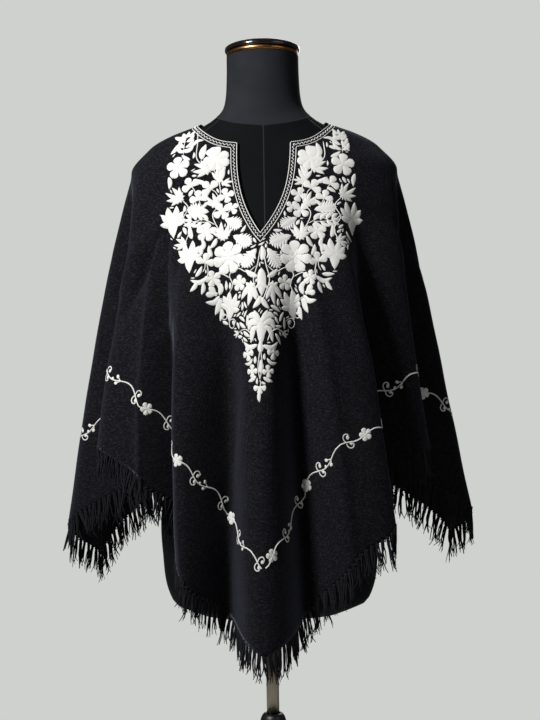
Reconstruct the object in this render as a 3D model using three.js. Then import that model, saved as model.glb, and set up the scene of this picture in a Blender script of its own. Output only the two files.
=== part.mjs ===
// A woollen poncho with a fringed hem, worn by a limbless dress form on a stand.
//
// The poncho is one square of cloth with the neck cut in its middle, so its four corners hang at
// the front, the back and both sides. The cloth lies on the form's shoulders, leaves them at their
// ends and falls in folds that deepen towards the hem. Each ridge or valley line of the drape has a
// row in a table.
//
// Millimetres. +Z is up, the front looks along -Y and +X is the viewer's right. The origin is on
// the floor, under the axis of the stand.

import * as THREE from "three";

const DEG = Math.PI / 180;

// The dress form: its outline at each height, as half width, front depth and back depth.
const FORM_SEGMENTS = 36;
const FORM_SECTIONS = [
  { height: 598, half: 112, front: 70, back: 72, square: 2.1 },
  { height: 618, half: 155, front: 102, back: 106, square: 2.1 },
  { height: 700, half: 172, front: 117, back: 124, square: 2.1 },
  { height: 780, half: 170, front: 116, back: 126, square: 2.1 },
  { height: 920, half: 131, front: 98, back: 95, square: 2.1 },
  { height: 965, half: 122, front: 94, back: 87, square: 2.1 },
  { height: 1020, half: 126, front: 98, back: 88, square: 2.1 },
  { height: 1135, half: 151, front: 130, back: 104, square: 2.2 },
  { height: 1185, half: 158, front: 125, back: 110, square: 2.2 },
  { height: 1275, half: 186, front: 88, back: 107, square: 2.2 },
  { height: 1302, half: 190, front: 80, back: 99, square: 2.2 },
  { height: 1320, half: 189, front: 75, back: 91, square: 2.2 },
  { height: 1338, half: 175, front: 70, back: 80, square: 2.15 },
  { height: 1354, half: 146, front: 66, back: 71, square: 2.1 },
  { height: 1370, half: 103, front: 63, back: 64, square: 2.05 },
  { height: 1384, half: 80, front: 60, back: 61, square: 2 },
  { height: 1398, half: 66, front: 58, back: 58, square: 2 },
  { height: 1416, half: 60, front: 56.5, back: 56.5, square: 2 },
  { height: 1450, half: 57.5, front: 56, back: 56, square: 2 },
  { height: 1484, half: 57, front: 56, back: 56, square: 2 },
];

// The neck cap: a turned wooden lid with a metal rim under it.
const CAP = { rim: 57.5, brim: 60, crown: 15, foot: 1484.3, rimHeight: 7.5 };

// The stand under the form.
const POLE = { radius: 10, top: 597.7, bottom: 402 };
const SOCKET = { radius: 21, bottom: 385, top: 436, neck: 12.5 };
const TUBE = { radius: 15, bottom: 26, top: 384.7 };
const BASE = { radius: 172, edge: 9, hubRadius: 30, hubHeight: 25.7 };
const ROUND_SEGMENTS = 28;

// The cloth wall.
const CLOTH_THICK = 2.4;
const CLOTH_CLEAR = 1.3;
const SEAM_GAP = 0.3;
const CLOTH_ROWS = 15;
const COLUMNS_PER_FOLD = 4;
const ROW_CROWDING = 1.8;

// Where the fold table is read: the heights of bust, waist and low hem.
const HEIGHTS = { rest: 1338, shoulder: 1300, bust: 1150, waist: 950, low: 750 };
const SHOULDER_FLARE = 19;
const TAPER_BELOW_LOW = 0.6;

// Each row is a ridge or valley of the drape. cut is its bearing in the flat cloth, upper and lower
// its bearing on the form at bust and hem, then its reach from the axis at three heights and the
// height of the hem there. Bearings are degrees from the front towards +X.
const FOLDS = [
  { name: "front ridge", cut: 0, upper: -3, lower: -3, bust: 151, waist: 180, low: 196, hem: 572 },
  { name: "right valley", cut: 9, upper: 17, lower: 22, bust: 142, waist: 131, low: 133, hem: 619 },
  { name: "right ridge", cut: 13, upper: 27, lower: 36, bust: 153, waist: 188, low: 206, hem: 702 },
  { name: "right panel edge", cut: 20, upper: 47, lower: 53, bust: 171, waist: 210, low: 234, hem: 745 },
  { name: "second panel valley", cut: 28, upper: 60, lower: 65, bust: 162, waist: 152, low: 166, hem: 806 },
  { name: "second panel ridge", cut: 42, upper: 79, lower: 79, bust: 220, waist: 243, low: 277, hem: 860 },
  { name: "right wing valley", cut: 60, upper: 87, lower: 88, bust: 186, waist: 173, low: 184, hem: 848 },
  { name: "right wing ridge", cut: 81, upper: 94, lower: 95, bust: 250, waist: 290, low: 330, hem: 752 },
  { name: "right corner", cut: 90, upper: 100, lower: 104, bust: 244, waist: 278, low: 308, hem: 708 },
  { name: "right back valley", cut: 108, upper: 121, lower: 126, bust: 172, waist: 163, low: 166, hem: 846 },
  { name: "back right ridge", cut: 125, upper: 134, lower: 138, bust: 204, waist: 244, low: 274, hem: 868 },
  { name: "back right valley", cut: 140, upper: 147, lower: 149, bust: 146, waist: 139, low: 150, hem: 832 },
  { name: "back right pleat", cut: 153, upper: 157, lower: 159, bust: 177, waist: 222, low: 252, hem: 774 },
  { name: "back middle valley", cut: 166, upper: 168, lower: 169, bust: 130, waist: 128, low: 140, hem: 688 },
  { name: "back ridge", cut: 180, upper: 181, lower: 182, bust: 158, waist: 206, low: 236, hem: 592 },
  { name: "back left groove", cut: 193, upper: 193, lower: 195, bust: 130, waist: 127, low: 139, hem: 676 },
  { name: "back left pleat", cut: 206, upper: 205, lower: 206, bust: 179, waist: 226, low: 256, hem: 768 },
  { name: "back left valley", cut: 221, upper: 215, lower: 216, bust: 147, waist: 141, low: 152, hem: 836 },
  { name: "back left ridge", cut: 236, upper: 226, lower: 225, bust: 207, waist: 248, low: 280, hem: 866 },
  { name: "left back valley", cut: 252, upper: 239, lower: 236, bust: 172, waist: 164, low: 167, hem: 844 },
  { name: "left corner", cut: 270, upper: 259, lower: 252, bust: 242, waist: 276, low: 297, hem: 680 },
  { name: "left wing ridge", cut: 279, upper: 266, lower: 265, bust: 253, waist: 294, low: 328, hem: 738 },
  { name: "left wing valley", cut: 300, upper: 273, lower: 278, bust: 188, waist: 174, low: 184, hem: 838 },
  { name: "left panel edge", cut: 320, upper: 283, lower: 294, bust: 225, waist: 266, low: 298, hem: 870 },
  { name: "left panel", cut: 331, upper: 296, lower: 307, bust: 197, waist: 228, low: 243, hem: 826 },
  { name: "left crease", cut: 338, upper: 302, lower: 307, bust: 174, waist: 172, low: 176, hem: 772 },
  { name: "left ridge", cut: 348, upper: 311, lower: 322, bust: 167, waist: 201, low: 218, hem: 679 },
  { name: "left valley", cut: 354, upper: 335, lower: 333, bust: 142, waist: 130, low: 134, hem: 617 },
];
const placeOf = (name) => FOLDS.findIndex((fold) => fold.name === name);
const RIGHT_CORNER = placeOf("right corner");
const LEFT_CORNER = placeOf("left corner");
const BACK_CORNER = placeOf("back ridge");
const CORNERS = [0, RIGHT_CORNER, BACK_CORNER, LEFT_CORNER];

// The neck edge: its height by bearing, the same on both sides, and the slit in its front.
const NECKLINE = [
  { bearing: 0, height: 1337 },
  { bearing: 30, height: 1337 },
  { bearing: 46, height: 1343 },
  { bearing: 66, height: 1365 },
  { bearing: 90, height: 1378 },
  { bearing: 135, height: 1371 },
  { bearing: 180, height: 1366 },
];
const SLIT = { top: 1337, tip: 1192, half: 40, curve: 2.7, spread: 62, lean: -3 };

// The fringe: locks of yarn knotted into a narrow strip under each side of the hem.
const FRINGE = { locks: 50, gap: 0.6, strip: 4.5, share: 0.46, length: 52, thick: 2.2, flare: 0.25, sway: 7 };

// The value of a column of a table at a place between its rows, on a smooth curve.
function tableValue(rows, key, by, at) {
  const last = rows.length - 1;
  if (at <= rows[0][by]) return rows[0][key];
  if (at >= rows[last][by]) return rows[last][key];
  const i = rows.findIndex((row, k) => k < last && at < rows[k + 1][by]);
  const slope = (k) => {
    const a = rows[Math.max(k - 1, 0)];
    const b = rows[Math.min(k + 1, last)];
    return (b[key] - a[key]) / (b[by] - a[by]);
  };
  return hermite(rows[i][by], rows[i][key], slope(i), rows[i + 1][by], rows[i + 1][key], slope(i + 1), at);
}

function hermite(x0, y0, m0, x1, y1, m1, x) {
  const h = x1 - x0;
  const t = (x - x0) / h;
  const blend = t * t * (3 - 2 * t);
  const bend = h * t * (1 - t);
  return y0 + (y1 - y0) * blend + bend * (m0 * (1 - t) - m1 * t);
}

const mix = (a, b, t) => a + (b - a) * t;
const clamp = (x, low, high) => Math.min(Math.max(x, low), high);

// How far the dress form reaches from its axis, at a bearing and height.
function formReach(bearing, height) {
  const half = tableValue(FORM_SECTIONS, "half", "height", height);
  const forward = Math.cos(bearing * DEG) > 0 ? "front" : "back";
  const deep = tableValue(FORM_SECTIONS, forward, "height", height);
  const power = tableValue(FORM_SECTIONS, "square", "height", height);
  const side = Math.abs(Math.sin(bearing * DEG)) / half;
  const ahead = Math.abs(Math.cos(bearing * DEG)) / deep;
  return 1 / Math.pow(Math.pow(side, power) + Math.pow(ahead, power), 1 / power);
}

// The cloth where it lies on the form: the form's surface moved up and out by the wall and its gap.
function restingReach(bearing, height) {
  const off = CLOTH_THICK + CLOTH_CLEAR;
  return formReach(bearing, height - off) + off;
}

// A value of the fold table at a place round the cloth, counted in folds. It is level on each ridge
// and in each valley.
function foldValue(key, place) {
  const count = FOLDS.length;
  const turns = Math.floor(place / count);
  const i = Math.floor(place) - turns * count;
  const j = (i + 1) % count;
  const t = place - Math.floor(place);
  const turned = key === "cut" || key === "upper" || key === "lower";
  const from = FOLDS[i][key];
  const to = FOLDS[j][key] + (turned && j === 0 ? 360 : 0);
  if (turned) return mix(from, to, t) + 360 * turns;
  return mix(from, to, (1 - Math.cos(Math.PI * t)) / 2);
}

// The height of the hem at a place: a smooth curve through the rows of one side of the cloth, with
// a sharp turn at each of its four corners.
function hemHeight(place) {
  const hem = (i) => FOLDS[((i % FOLDS.length) + FOLDS.length) % FOLDS.length].hem;
  const sharp = (i) => CORNERS.includes(i % FOLDS.length);
  const i = Math.floor(place);
  const rise = hem(i + 1) - hem(i);
  const start = sharp(i) ? rise : (hem(i + 1) - hem(i - 1)) / 2;
  const end = sharp(i + 1) ? rise : (hem(i + 2) - hem(i)) / 2;
  return hermite(0, hem(i), start, 1, hem(i + 1), end, place - i);
}

// How far the cloth reaches from the axis, at a place round it and a height.
function clothReach(place, bearing, height) {
  if (height >= HEIGHTS.rest) return restingReach(bearing, height);
  const low = foldValue("low", place);
  const waist = foldValue("waist", place);
  const slope = (low - waist) / (HEIGHTS.low - HEIGHTS.waist);
  if (height <= HEIGHTS.low) return low + slope * TAPER_BELOW_LOW * (height - HEIGHTS.low);
  const flare = SHOULDER_FLARE * Math.pow(Math.abs(Math.sin(bearing * DEG)), 4);
  const knots = [
    { height: HEIGHTS.low, reach: low },
    { height: HEIGHTS.waist, reach: waist },
    { height: HEIGHTS.bust, reach: foldValue("bust", place) },
    { height: HEIGHTS.shoulder, reach: restingReach(bearing, HEIGHTS.shoulder) + flare },
    { height: HEIGHTS.rest, reach: restingReach(bearing, HEIGHTS.rest) },
    { height: HEIGHTS.rest + 12, reach: restingReach(bearing, HEIGHTS.rest + 12) },
  ];
  return tableValue(knots, "reach", "height", height);
}

const slitHalf = (height) => {
  const down = clamp((SLIT.top - height) / (SLIT.top - SLIT.tip), 0, 1);
  return SLIT.half * (1 - Math.pow(down, SLIT.curve));
};

// Bearing of a place at a height: the fold lines lean, and the cloth parts round the slit.
function clothBearing(place, height) {
  const down = clamp((HEIGHTS.bust - height) / (HEIGHTS.bust - HEIGHTS.low), 0, 1.4);
  const bearing = mix(foldValue("upper", place), foldValue("lower", place), down);
  const middle = FOLDS[0].upper;
  const turn = ((((bearing - middle + 180) % 360) + 360) % 360) - 180;
  if (height <= SLIT.tip || Math.abs(turn) >= SLIT.spread) return bearing;
  const side = slitSide(place);
  const edge = slitBearing(place, height);
  const share = Math.abs(turn) / SLIT.spread;
  const lean = SLIT.lean * ((SLIT.top - Math.min(height, SLIT.top)) / (SLIT.top - SLIT.tip));
  return bearing - turn + (lean - middle) * (1 - share) + side * mix(edge, SLIT.spread, share);
}

// The bearing of the slit's edge, found step by step because the cloth's reach changes with it.
function slitBearing(place, height) {
  let edge = 0;
  for (let step = 0; step < 6; step += 1) {
    edge = Math.asin(slitHalf(height) / clothReach(place, edge, height)) / DEG;
  }
  return edge;
}

// +1 for the viewer's right of the slit, -1 for the left.
function slitSide(place) {
  const count = FOLDS.length;
  const wrapped = ((place % count) + count) % count;
  return wrapped < count / 2 ? 1 : -1;
}

const neckHeight = (bearing) => {
  const turn = Math.abs(((((bearing + 180) % 360) + 360) % 360) - 180);
  return tableValue(NECKLINE, "height", "bearing", turn);
};

// A point of the cloth's outer face. down runs from 0 at the neck edge to 1 at the hem.
function clothPoint(place, down) {
  const top = neckHeight(clothBearing(place, SLIT.top));
  const height = mix(top, hemHeight(place), Math.pow(down, ROW_CROWDING));
  const bearing = clothBearing(place, height);
  const reach = clothReach(place, bearing, height);
  return new THREE.Vector3(reach * Math.sin(bearing * DEG), -reach * Math.cos(bearing * DEG), height);
}

// The cloth's directions at a place: round the body, down and outward. Beside the slit the first is
// measured on the place's own side only.
function clothFrame(place, down) {
  const step = 0.02;
  const side = slitSide(place);
  const open = clothPoint(place, down).z > SLIT.tip + 0.01;
  const beside = (other) => clothPoint(open && slitSide(other) !== side && nearSlit(place) ? place : other, down);
  const round = beside(place + step).sub(beside(place - step)).normalize();
  const above = clothPoint(place, Math.max(down - step, 0));
  const fall = clothPoint(place, Math.min(down + step, 1)).sub(above).normalize();
  const out = new THREE.Vector3().crossVectors(fall, round).normalize();
  return { round, fall, out };
}

function nearSlit(place) {
  const wrapped = ((place % FOLDS.length) + FOLDS.length) % FOLDS.length;
  return Math.min(wrapped, FOLDS.length - wrapped) < 1;
}

// The cloth as a closed wall between columns of outer points and of inner points. The first and
// last columns are the two edges of the slit and meet below its tip.
function wallGeometry(columns, tip) {
  const vertices = [];
  const triangles = [];
  const rows = columns[0].outer.length;
  const outer = columns.map((column) => column.outer.map((p) => vertices.push(p) - 1));
  const inner = columns.map((column) => column.inner.map((p) => vertices.push(p) - 1));
  const quad = (a, b, c, d) => triangles.push(a, b, c, a, c, d);
  for (let i = 0; i + 1 < columns.length; i += 1) {
    for (let j = 0; j + 1 < rows; j += 1) {
      quad(outer[i][j], outer[i][j + 1], outer[i + 1][j + 1], outer[i + 1][j]);
      quad(inner[i][j], inner[i + 1][j], inner[i + 1][j + 1], inner[i][j + 1]);
    }
    quad(outer[i][0], outer[i + 1][0], inner[i + 1][0], inner[i][0]);
    quad(outer[i + 1][rows - 1], outer[i][rows - 1], inner[i][rows - 1], inner[i + 1][rows - 1]);
  }
  const last = columns.length - 1;
  for (let j = 0; j < tip; j += 1) {
    quad(outer[0][j], inner[0][j], inner[0][j + 1], outer[0][j + 1]);
    quad(inner[last][j], outer[last][j], outer[last][j + 1], inner[last][j + 1]);
  }
  return solidGeometry(vertices, triangles);
}

// A geometry from points and corner indices. Points at one spot become one vertex.
function solidGeometry(points, corners) {
  const spots = new Map();
  const kept = [];
  const indexOf = points.map((p) => {
    const key = [p.x, p.y, p.z].map((value) => Math.round(value * 1e4)).join(" ");
    if (!spots.has(key)) spots.set(key, kept.push(p) - 1);
    return spots.get(key);
  });
  const faces = [];
  for (let k = 0; k < corners.length; k += 3) {
    const [a, b, c] = corners.slice(k, k + 3).map((corner) => indexOf[corner]);
    if (a !== b && b !== c && c !== a) faces.push(a, b, c);
  }
  const geometry = new THREE.BufferGeometry().setFromPoints(kept);
  geometry.setIndex(faces);
  geometry.computeVertexNormals();
  return geometry;
}

// The share of the way down at which the slit closes, so that a row of points falls on its tip.
const SLIT_ROW = 6;
function rowShares(place) {
  const top = neckHeight(clothBearing(place, SLIT.top));
  const hem = hemHeight(place);
  const tip = Math.pow((top - SLIT.tip) / (top - hem), 1 / ROW_CROWDING);
  return Array.from({ length: CLOTH_ROWS + 1 }, (_, j) =>
    j <= SLIT_ROW ? (tip * j) / SLIT_ROW : mix(tip, 1, (j - SLIT_ROW) / (CLOTH_ROWS - SLIT_ROW)),
  );
}

function clothColumn(place) {
  const outer = [];
  const inner = [];
  for (const down of rowShares(place)) {
    const point = clothPoint(place, down);
    outer.push(point);
    inner.push(point.clone().addScaledVector(clothFrame(place, down).out, -CLOTH_THICK));
  }
  return { outer, inner };
}

function clothGeometry() {
  const steps = FOLDS.length * COLUMNS_PER_FOLD;
  const columns = [];
  for (let i = 0; i < steps; i += 1) columns.push(clothColumn(i / COLUMNS_PER_FOLD));
  const closing = clothColumn(FOLDS.length - 1e-7);
  for (const face of ["outer", "inner"]) {
    closing[face] = [...closing[face].slice(0, SLIT_ROW), ...columns[0][face].slice(SLIT_ROW)];
  }
  columns.push(closing);
  return wallGeometry(columns, SLIT_ROW);
}

// One side of the fringe, from one corner of the hem to the next. Its strip follows the hem edge of
// the cloth from column to column, with as many locks in each stretch as its length gives.
function fringeGeometry(first, last) {
  const sections = [];
  for (let i = first * COLUMNS_PER_FOLD; i <= last * COLUMNS_PER_FOLD; i += 1) {
    sections.push(stripSection(i / COLUMNS_PER_FOLD));
  }
  const stretch = (i) => sections[i].top.distanceTo(sections[i + 1].top);
  const total = sections.slice(1).reduce((sum, _, i) => sum + stretch(i), 0);
  const pitch = total / FRINGE.locks;
  const marks = [];
  for (let i = 0; i + 1 < sections.length; i += 1) {
    const locks = Math.max(1, Math.round(stretch(i) / pitch));
    const from = i === 0 ? 2 / stretch(0) : 0;
    const to = i + 2 === sections.length ? 1 - 2 / stretch(i) : 1;
    marks.push(markAt(sections, i, from, false));
    for (let k = 0; k < locks; k += 1) {
      const middle = mix(from, to, (k + 0.5) / locks);
      const half = ((to - from) / locks) * FRINGE.share * 0.5;
      marks.push(markAt(sections, i, middle - half, true), markAt(sections, i, middle + half, false));
    }
    if (i + 2 === sections.length) marks.push(markAt(sections, i, to, false));
  }
  const points = [];
  const corners = [];
  const rings = marks.map(({ top, back, front }) => [top, back, front].map((p) => points.push(p) - 1));
  const quad = (a, b, c, d) => corners.push(a, b, c, a, c, d);
  for (let i = 0; i + 1 < rings.length; i += 1) {
    const [topA, backA, frontA] = rings[i];
    const [topB, backB, frontB] = rings[i + 1];
    quad(topA, frontA, frontB, topB);
    quad(backA, topA, topB, backB);
    if (marks[i].lock) addLock(points, corners, [frontA, frontB, backB, backA], marks[i], i);
    else quad(frontA, backA, backB, frontB);
  }
  const [start, end] = [rings[0], rings[rings.length - 1]];
  corners.push(start[0], start[1], start[2], end[0], end[2], end[1]);
  return solidGeometry(points, corners);
}

// A lock of yarn below one stretch of the strip: four-sided, a little bent, closed in a point.
function addLock(points, corners, root, mark, seed) {
  const { fall, out, round } = mark.frame;
  const down = new THREE.Vector3(0, 0, -1);
  const swing = Math.sin(seed * 2.4) + 0.6 * Math.sin(seed * 5.1 + 1);
  const length = FRINGE.length * (1 + 0.08 * Math.sin(seed * 3.7));
  const lean = new THREE.Vector3().addScaledVector(fall, 0.35).addScaledVector(down, 0.65).normalize();
  const centre = root.reduce((sum, k) => sum.add(points[k]), new THREE.Vector3()).multiplyScalar(0.25);
  const bend = centre
    .clone()
    .addScaledVector(lean, length * 0.55)
    .addScaledVector(round, swing * FRINGE.sway * 0.3)
    .addScaledVector(out, 1.2);
  const middle = root.map((k) => {
    const arm = points[k].clone().sub(centre).multiplyScalar(1 + FRINGE.flare);
    return points.push(bend.clone().add(arm)) - 1;
  });
  const end = centre
    .clone()
    .addScaledVector(lean, length * 0.5)
    .addScaledVector(down, length * 0.5)
    .addScaledVector(round, swing * FRINGE.sway * 0.6);
  const tip = points.push(end) - 1;
  for (let k = 0; k < root.length; k += 1) {
    const n = (k + 1) % root.length;
    corners.push(root[k], middle[k], middle[n], root[k], middle[n], root[n]);
    corners.push(middle[k], tip, middle[n]);
  }
}

// The strip's section under a column of the cloth: a wedge with its edge up. Where the hem is steep
// it drops further, so that the gap square to the hem stays the same.
function stripSection(place) {
  const frame = clothFrame(place, 1);
  const hem = clothPoint(place, 1).addScaledVector(frame.out, -CLOTH_THICK / 2);
  const along = clothPoint(place + 0.1, 1).sub(clothPoint(place - 0.1, 1)).normalize();
  const steep = Math.min(Math.abs(along.dot(frame.fall)), 0.93);
  const top = hem.clone().addScaledVector(frame.fall, FRINGE.gap / Math.sqrt(1 - steep * steep));
  const foot = top.clone().addScaledVector(frame.fall, FRINGE.strip);
  const front = foot.clone().addScaledVector(frame.out, FRINGE.thick / 2);
  const back = foot.clone().addScaledVector(frame.out, -FRINGE.thick / 2);
  return { top, front, back, frame };
}

// The section at a share of the stretch between two columns, and whether a lock starts there.
function markAt(sections, i, share, lock) {
  const [a, b] = [sections[i], sections[i + 1]];
  const between = (key) => a[key].clone().lerp(b[key], share);
  const frame = {};
  for (const key of ["round", "fall", "out"]) frame[key] = a.frame[key].clone().lerp(b.frame[key], share).normalize();
  return { top: between("top"), back: between("back"), front: between("front"), frame, lock };
}

// The form: a loft through its sections, closed top and bottom.
function formGeometry() {
  const points = [];
  const corners = [];
  const heights = FORM_SECTIONS.map((section) => section.height);
  const rings = heights.map((height) =>
    Array.from({ length: FORM_SEGMENTS }, (_, i) => {
      const bearing = (360 * i) / FORM_SEGMENTS;
      const reach = formReach(bearing, height);
      return points.push(
        new THREE.Vector3(reach * Math.sin(bearing * DEG), -reach * Math.cos(bearing * DEG), height),
      ) - 1;
    }),
  );
  for (let j = 0; j + 1 < rings.length; j += 1) {
    for (let i = 0; i < FORM_SEGMENTS; i += 1) {
      const n = (i + 1) % FORM_SEGMENTS;
      corners.push(rings[j][i], rings[j][n], rings[j + 1][n], rings[j][i], rings[j + 1][n], rings[j + 1][i]);
    }
  }
  const bottom = points.push(new THREE.Vector3(0, 0, heights[0])) - 1;
  const top = points.push(new THREE.Vector3(0, 0, heights[heights.length - 1])) - 1;
  const lastRing = rings[rings.length - 1];
  for (let i = 0; i < FORM_SEGMENTS; i += 1) {
    const n = (i + 1) % FORM_SEGMENTS;
    corners.push(bottom, rings[0][n], rings[0][i], top, lastRing[i], lastRing[n]);
  }
  return solidGeometry(points, corners);
}

// A turned piece about the stand's axis, from its profile of radius and height.
function turned(profile) {
  const geometry = new THREE.LatheGeometry(
    profile.map(([radius, height]) => new THREE.Vector2(radius, height)),
    ROUND_SEGMENTS,
  );
  geometry.rotateX(Math.PI / 2);
  return geometry;
}

function capRimGeometry() {
  const { rim, foot, rimHeight } = CAP;
  return turned([
    [0, foot],
    [rim - 3, foot],
    [rim, foot + rimHeight * 0.4],
    [rim, foot + rimHeight * 0.7],
    [rim - 1.5, foot + rimHeight],
    [0, foot + rimHeight],
  ]);
}

function capLidGeometry() {
  const foot = CAP.foot + CAP.rimHeight + SEAM_GAP;
  const { brim, crown } = CAP;
  return turned([
    [0, foot],
    [brim - 2, foot],
    [brim, foot + 2.5],
    [brim - 1.5, foot + 5.5],
    [brim * 0.86, foot + crown * 0.6],
    [brim * 0.62, foot + crown * 0.83],
    [brim * 0.32, foot + crown * 0.96],
    [0, foot + crown],
  ]);
}

function socketGeometry() {
  const { radius, bottom, top, neck } = SOCKET;
  return turned([
    [0, bottom],
    [radius * 0.8, bottom],
    [radius, bottom + 6],
    [radius, top - 16],
    [radius * 0.93, top - 8],
    [radius * 0.78, top - 2],
    [neck, top],
    [POLE.radius + SEAM_GAP, top],
    [POLE.radius + SEAM_GAP, POLE.bottom - SEAM_GAP],
    [0, POLE.bottom - SEAM_GAP],
  ]);
}

function baseGeometry() {
  const { radius, edge, hubRadius, hubHeight } = BASE;
  return turned([
    [0, 0],
    [radius - 1.5, 0],
    [radius, 1.5],
    [radius, edge * 0.6],
    [radius - 4, edge],
    [hubRadius * 1.8, edge + 4],
    [hubRadius, edge + 9],
    [hubRadius * 0.85, hubHeight],
    [0, hubHeight],
  ]);
}

const plainTube = ({ radius, bottom, top }) =>
  turned([
    [0, bottom],
    [radius, bottom],
    [radius, top],
    [0, top],
  ]);

const finish = (colour, roughness, metalness) =>
  new THREE.MeshStandardMaterial({ color: colour, roughness, metalness });

const MATERIALS = {
  wool: finish(0x15151a, 0.95, 0),
  fringe: finish(0x101013, 0.9, 0),
  jersey: finish(0x1d1f22, 0.85, 0),
  lacquer: finish(0x0b0908, 0.2, 0),
  brass: finish(0xb98a4e, 0.3, 1),
  steel: finish(0x8f8c80, 0.35, 1),
  plastic: finish(0x0d0d0e, 0.5, 0),
  iron: finish(0x1a1a1b, 0.6, 0.4),
};

const part = new THREE.Group();

function add(name, geometry, material) {
  const mesh = new THREE.Mesh(geometry, material);
  mesh.name = name;
  part.add(mesh);
}

add("poncho_cloth", clothGeometry(), MATERIALS.wool);

const round = FOLDS.length;
add("fringe_front_right", fringeGeometry(0, RIGHT_CORNER), MATERIALS.fringe);
add("fringe_back_right", fringeGeometry(RIGHT_CORNER, BACK_CORNER), MATERIALS.fringe);
add("fringe_back_left", fringeGeometry(BACK_CORNER, LEFT_CORNER), MATERIALS.fringe);
add("fringe_front_left", fringeGeometry(LEFT_CORNER, round), MATERIALS.fringe);

add("dress_form", formGeometry(), MATERIALS.jersey);
add("neck_cap_rim", capRimGeometry(), MATERIALS.brass);
add("neck_cap_lid", capLidGeometry(), MATERIALS.lacquer);
add("stand_pole", plainTube(POLE), MATERIALS.steel);
add("stand_socket", socketGeometry(), MATERIALS.plastic);
add("stand_tube", plainTube(TUBE), MATERIALS.steel);
add("stand_base", baseGeometry(), MATERIALS.iron);

export default part;
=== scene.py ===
# %% [markdown]
# # A poncho on a dress form
#
# The real object is one square of black woollen twill, worn on the diagonal, with a slit neck, a yoke
# and a border worked in off-white thread and a knotted fringe. It hangs on a limbless dress form. The
# CAD model gives each piece its size and place. Here each one gets its finer shape and its finish, and
# everything stays in the model's own frame: metres, the front looks along -Y and Z is up.

# %% Load the frame
import math
import random
from functools import lru_cache

import bmesh
import bpy
from mathutils import Matrix, Vector, noise
from mathutils.bvhtree import BVHTree
from mathutils.kdtree import KDTree


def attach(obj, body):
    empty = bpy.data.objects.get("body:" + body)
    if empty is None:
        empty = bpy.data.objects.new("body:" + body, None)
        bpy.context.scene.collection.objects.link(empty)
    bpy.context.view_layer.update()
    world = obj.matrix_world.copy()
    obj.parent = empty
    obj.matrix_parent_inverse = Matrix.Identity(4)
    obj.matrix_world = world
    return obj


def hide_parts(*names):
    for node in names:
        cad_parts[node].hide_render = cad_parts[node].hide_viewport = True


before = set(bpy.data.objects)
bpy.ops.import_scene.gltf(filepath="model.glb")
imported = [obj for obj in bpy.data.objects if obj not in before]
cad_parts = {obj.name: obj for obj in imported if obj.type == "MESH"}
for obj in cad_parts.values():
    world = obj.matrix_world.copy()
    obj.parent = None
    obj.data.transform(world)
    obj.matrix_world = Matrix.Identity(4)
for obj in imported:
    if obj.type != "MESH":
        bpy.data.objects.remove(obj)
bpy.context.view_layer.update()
BODY = "root"
MM = 0.001
UP = Vector((0, 0, 1))
print("nodes:", sorted(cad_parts))

# %% [markdown]
# Colours are written as sRGB hex values, because that is how a swatch is read, and shaders want linear
# ones. One function turns them over. A second adds a shader node with its settings and its links: a
# value that is another node's output becomes a link, anything else the socket's own number. Five more
# make the nodes that every finish here needs: lumps, bands, a colour between two, a range and a bump.

# %% Colours and nodes
def linear(swatch):
    channels = [int(swatch[i : i + 2], 16) / 255 for i in (1, 3, 5)]
    return [c / 12.92 if c <= 0.04045 else ((c + 0.055) / 1.055) ** 2.4 for c in channels] + [1.0]


def add_node(tree, kind, inputs=None, **settings):
    made = tree.nodes.new("ShaderNode" + kind)
    for name, value in settings.items():
        setattr(made, name, value)
    connect(tree, made, inputs or {})
    return made


def connect(tree, made, inputs):
    for name, value in inputs.items():
        if isinstance(value, bpy.types.NodeSocket):
            tree.links.new(value, made.inputs[name])
        else:
            made.inputs[name].default_value = value


def new_material(name, **inputs):
    """A material with one Principled shader. Underscores in the names stand for spaces."""
    material = bpy.data.materials.new(name)
    material.use_nodes = True
    tree = material.node_tree
    shader = tree.nodes["Principled BSDF"]
    connect(tree, shader, {key.replace("_", " "): value for key, value in inputs.items()})
    return material, tree, shader


def lumps(tree, size, detail, where=None):
    """Noise with lumps of a size, in the object's own coordinates if no others are given."""
    if where is None:
        where = add_node(tree, "TexCoord").outputs["Object"]
    noisy = add_node(tree, "TexNoise", {"Vector": where, "Scale": 1 / size, "Detail": detail})
    return noisy.outputs["Fac"]


def bands(tree, where, pitch, distortion, detail=2.0, detail_scale=1.0, direction="X"):
    """Bands at a pitch. A wave texture has one every 2 pi / 20 of its scaled length."""
    wavy = {"Distortion": distortion, "Detail": detail, "Detail Scale": detail_scale}
    inputs = {"Vector": where, "Scale": math.pi / 10 / pitch, **wavy}
    return add_node(tree, "TexWave", inputs, bands_direction=direction).outputs["Fac"]


def shade(tree, share, dark, light):
    """A colour between two. The darker one may be another node's output."""
    dark = linear(dark) if isinstance(dark, str) else dark
    return add_node(tree, "Mix", {0: share, 6: dark, 7: linear(light)}, data_type="RGBA").outputs[2]


def in_range(tree, value, low=0.0, high=1.0, to_low=0.0, to_high=1.0):
    """A value moved from one range to another."""
    ends = {"From Min": low, "From Max": high, "To Min": to_low, "To Max": to_high}
    return add_node(tree, "MapRange", {"Value": value, **ends}).outputs["Result"]


def bumps(tree, height, strength, distance):
    raised = {"Height": height, "Strength": strength, "Distance": distance}
    return add_node(tree, "Bump", raised).outputs["Normal"]


# %% [markdown]
# A finished piece is a mesh or a bmesh in place, with its object at the origin. It rides on the part's
# one body, gets its material and may stand for one or more CAD nodes.

# %% Finished pieces
WELD = 0.05 * MM


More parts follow.
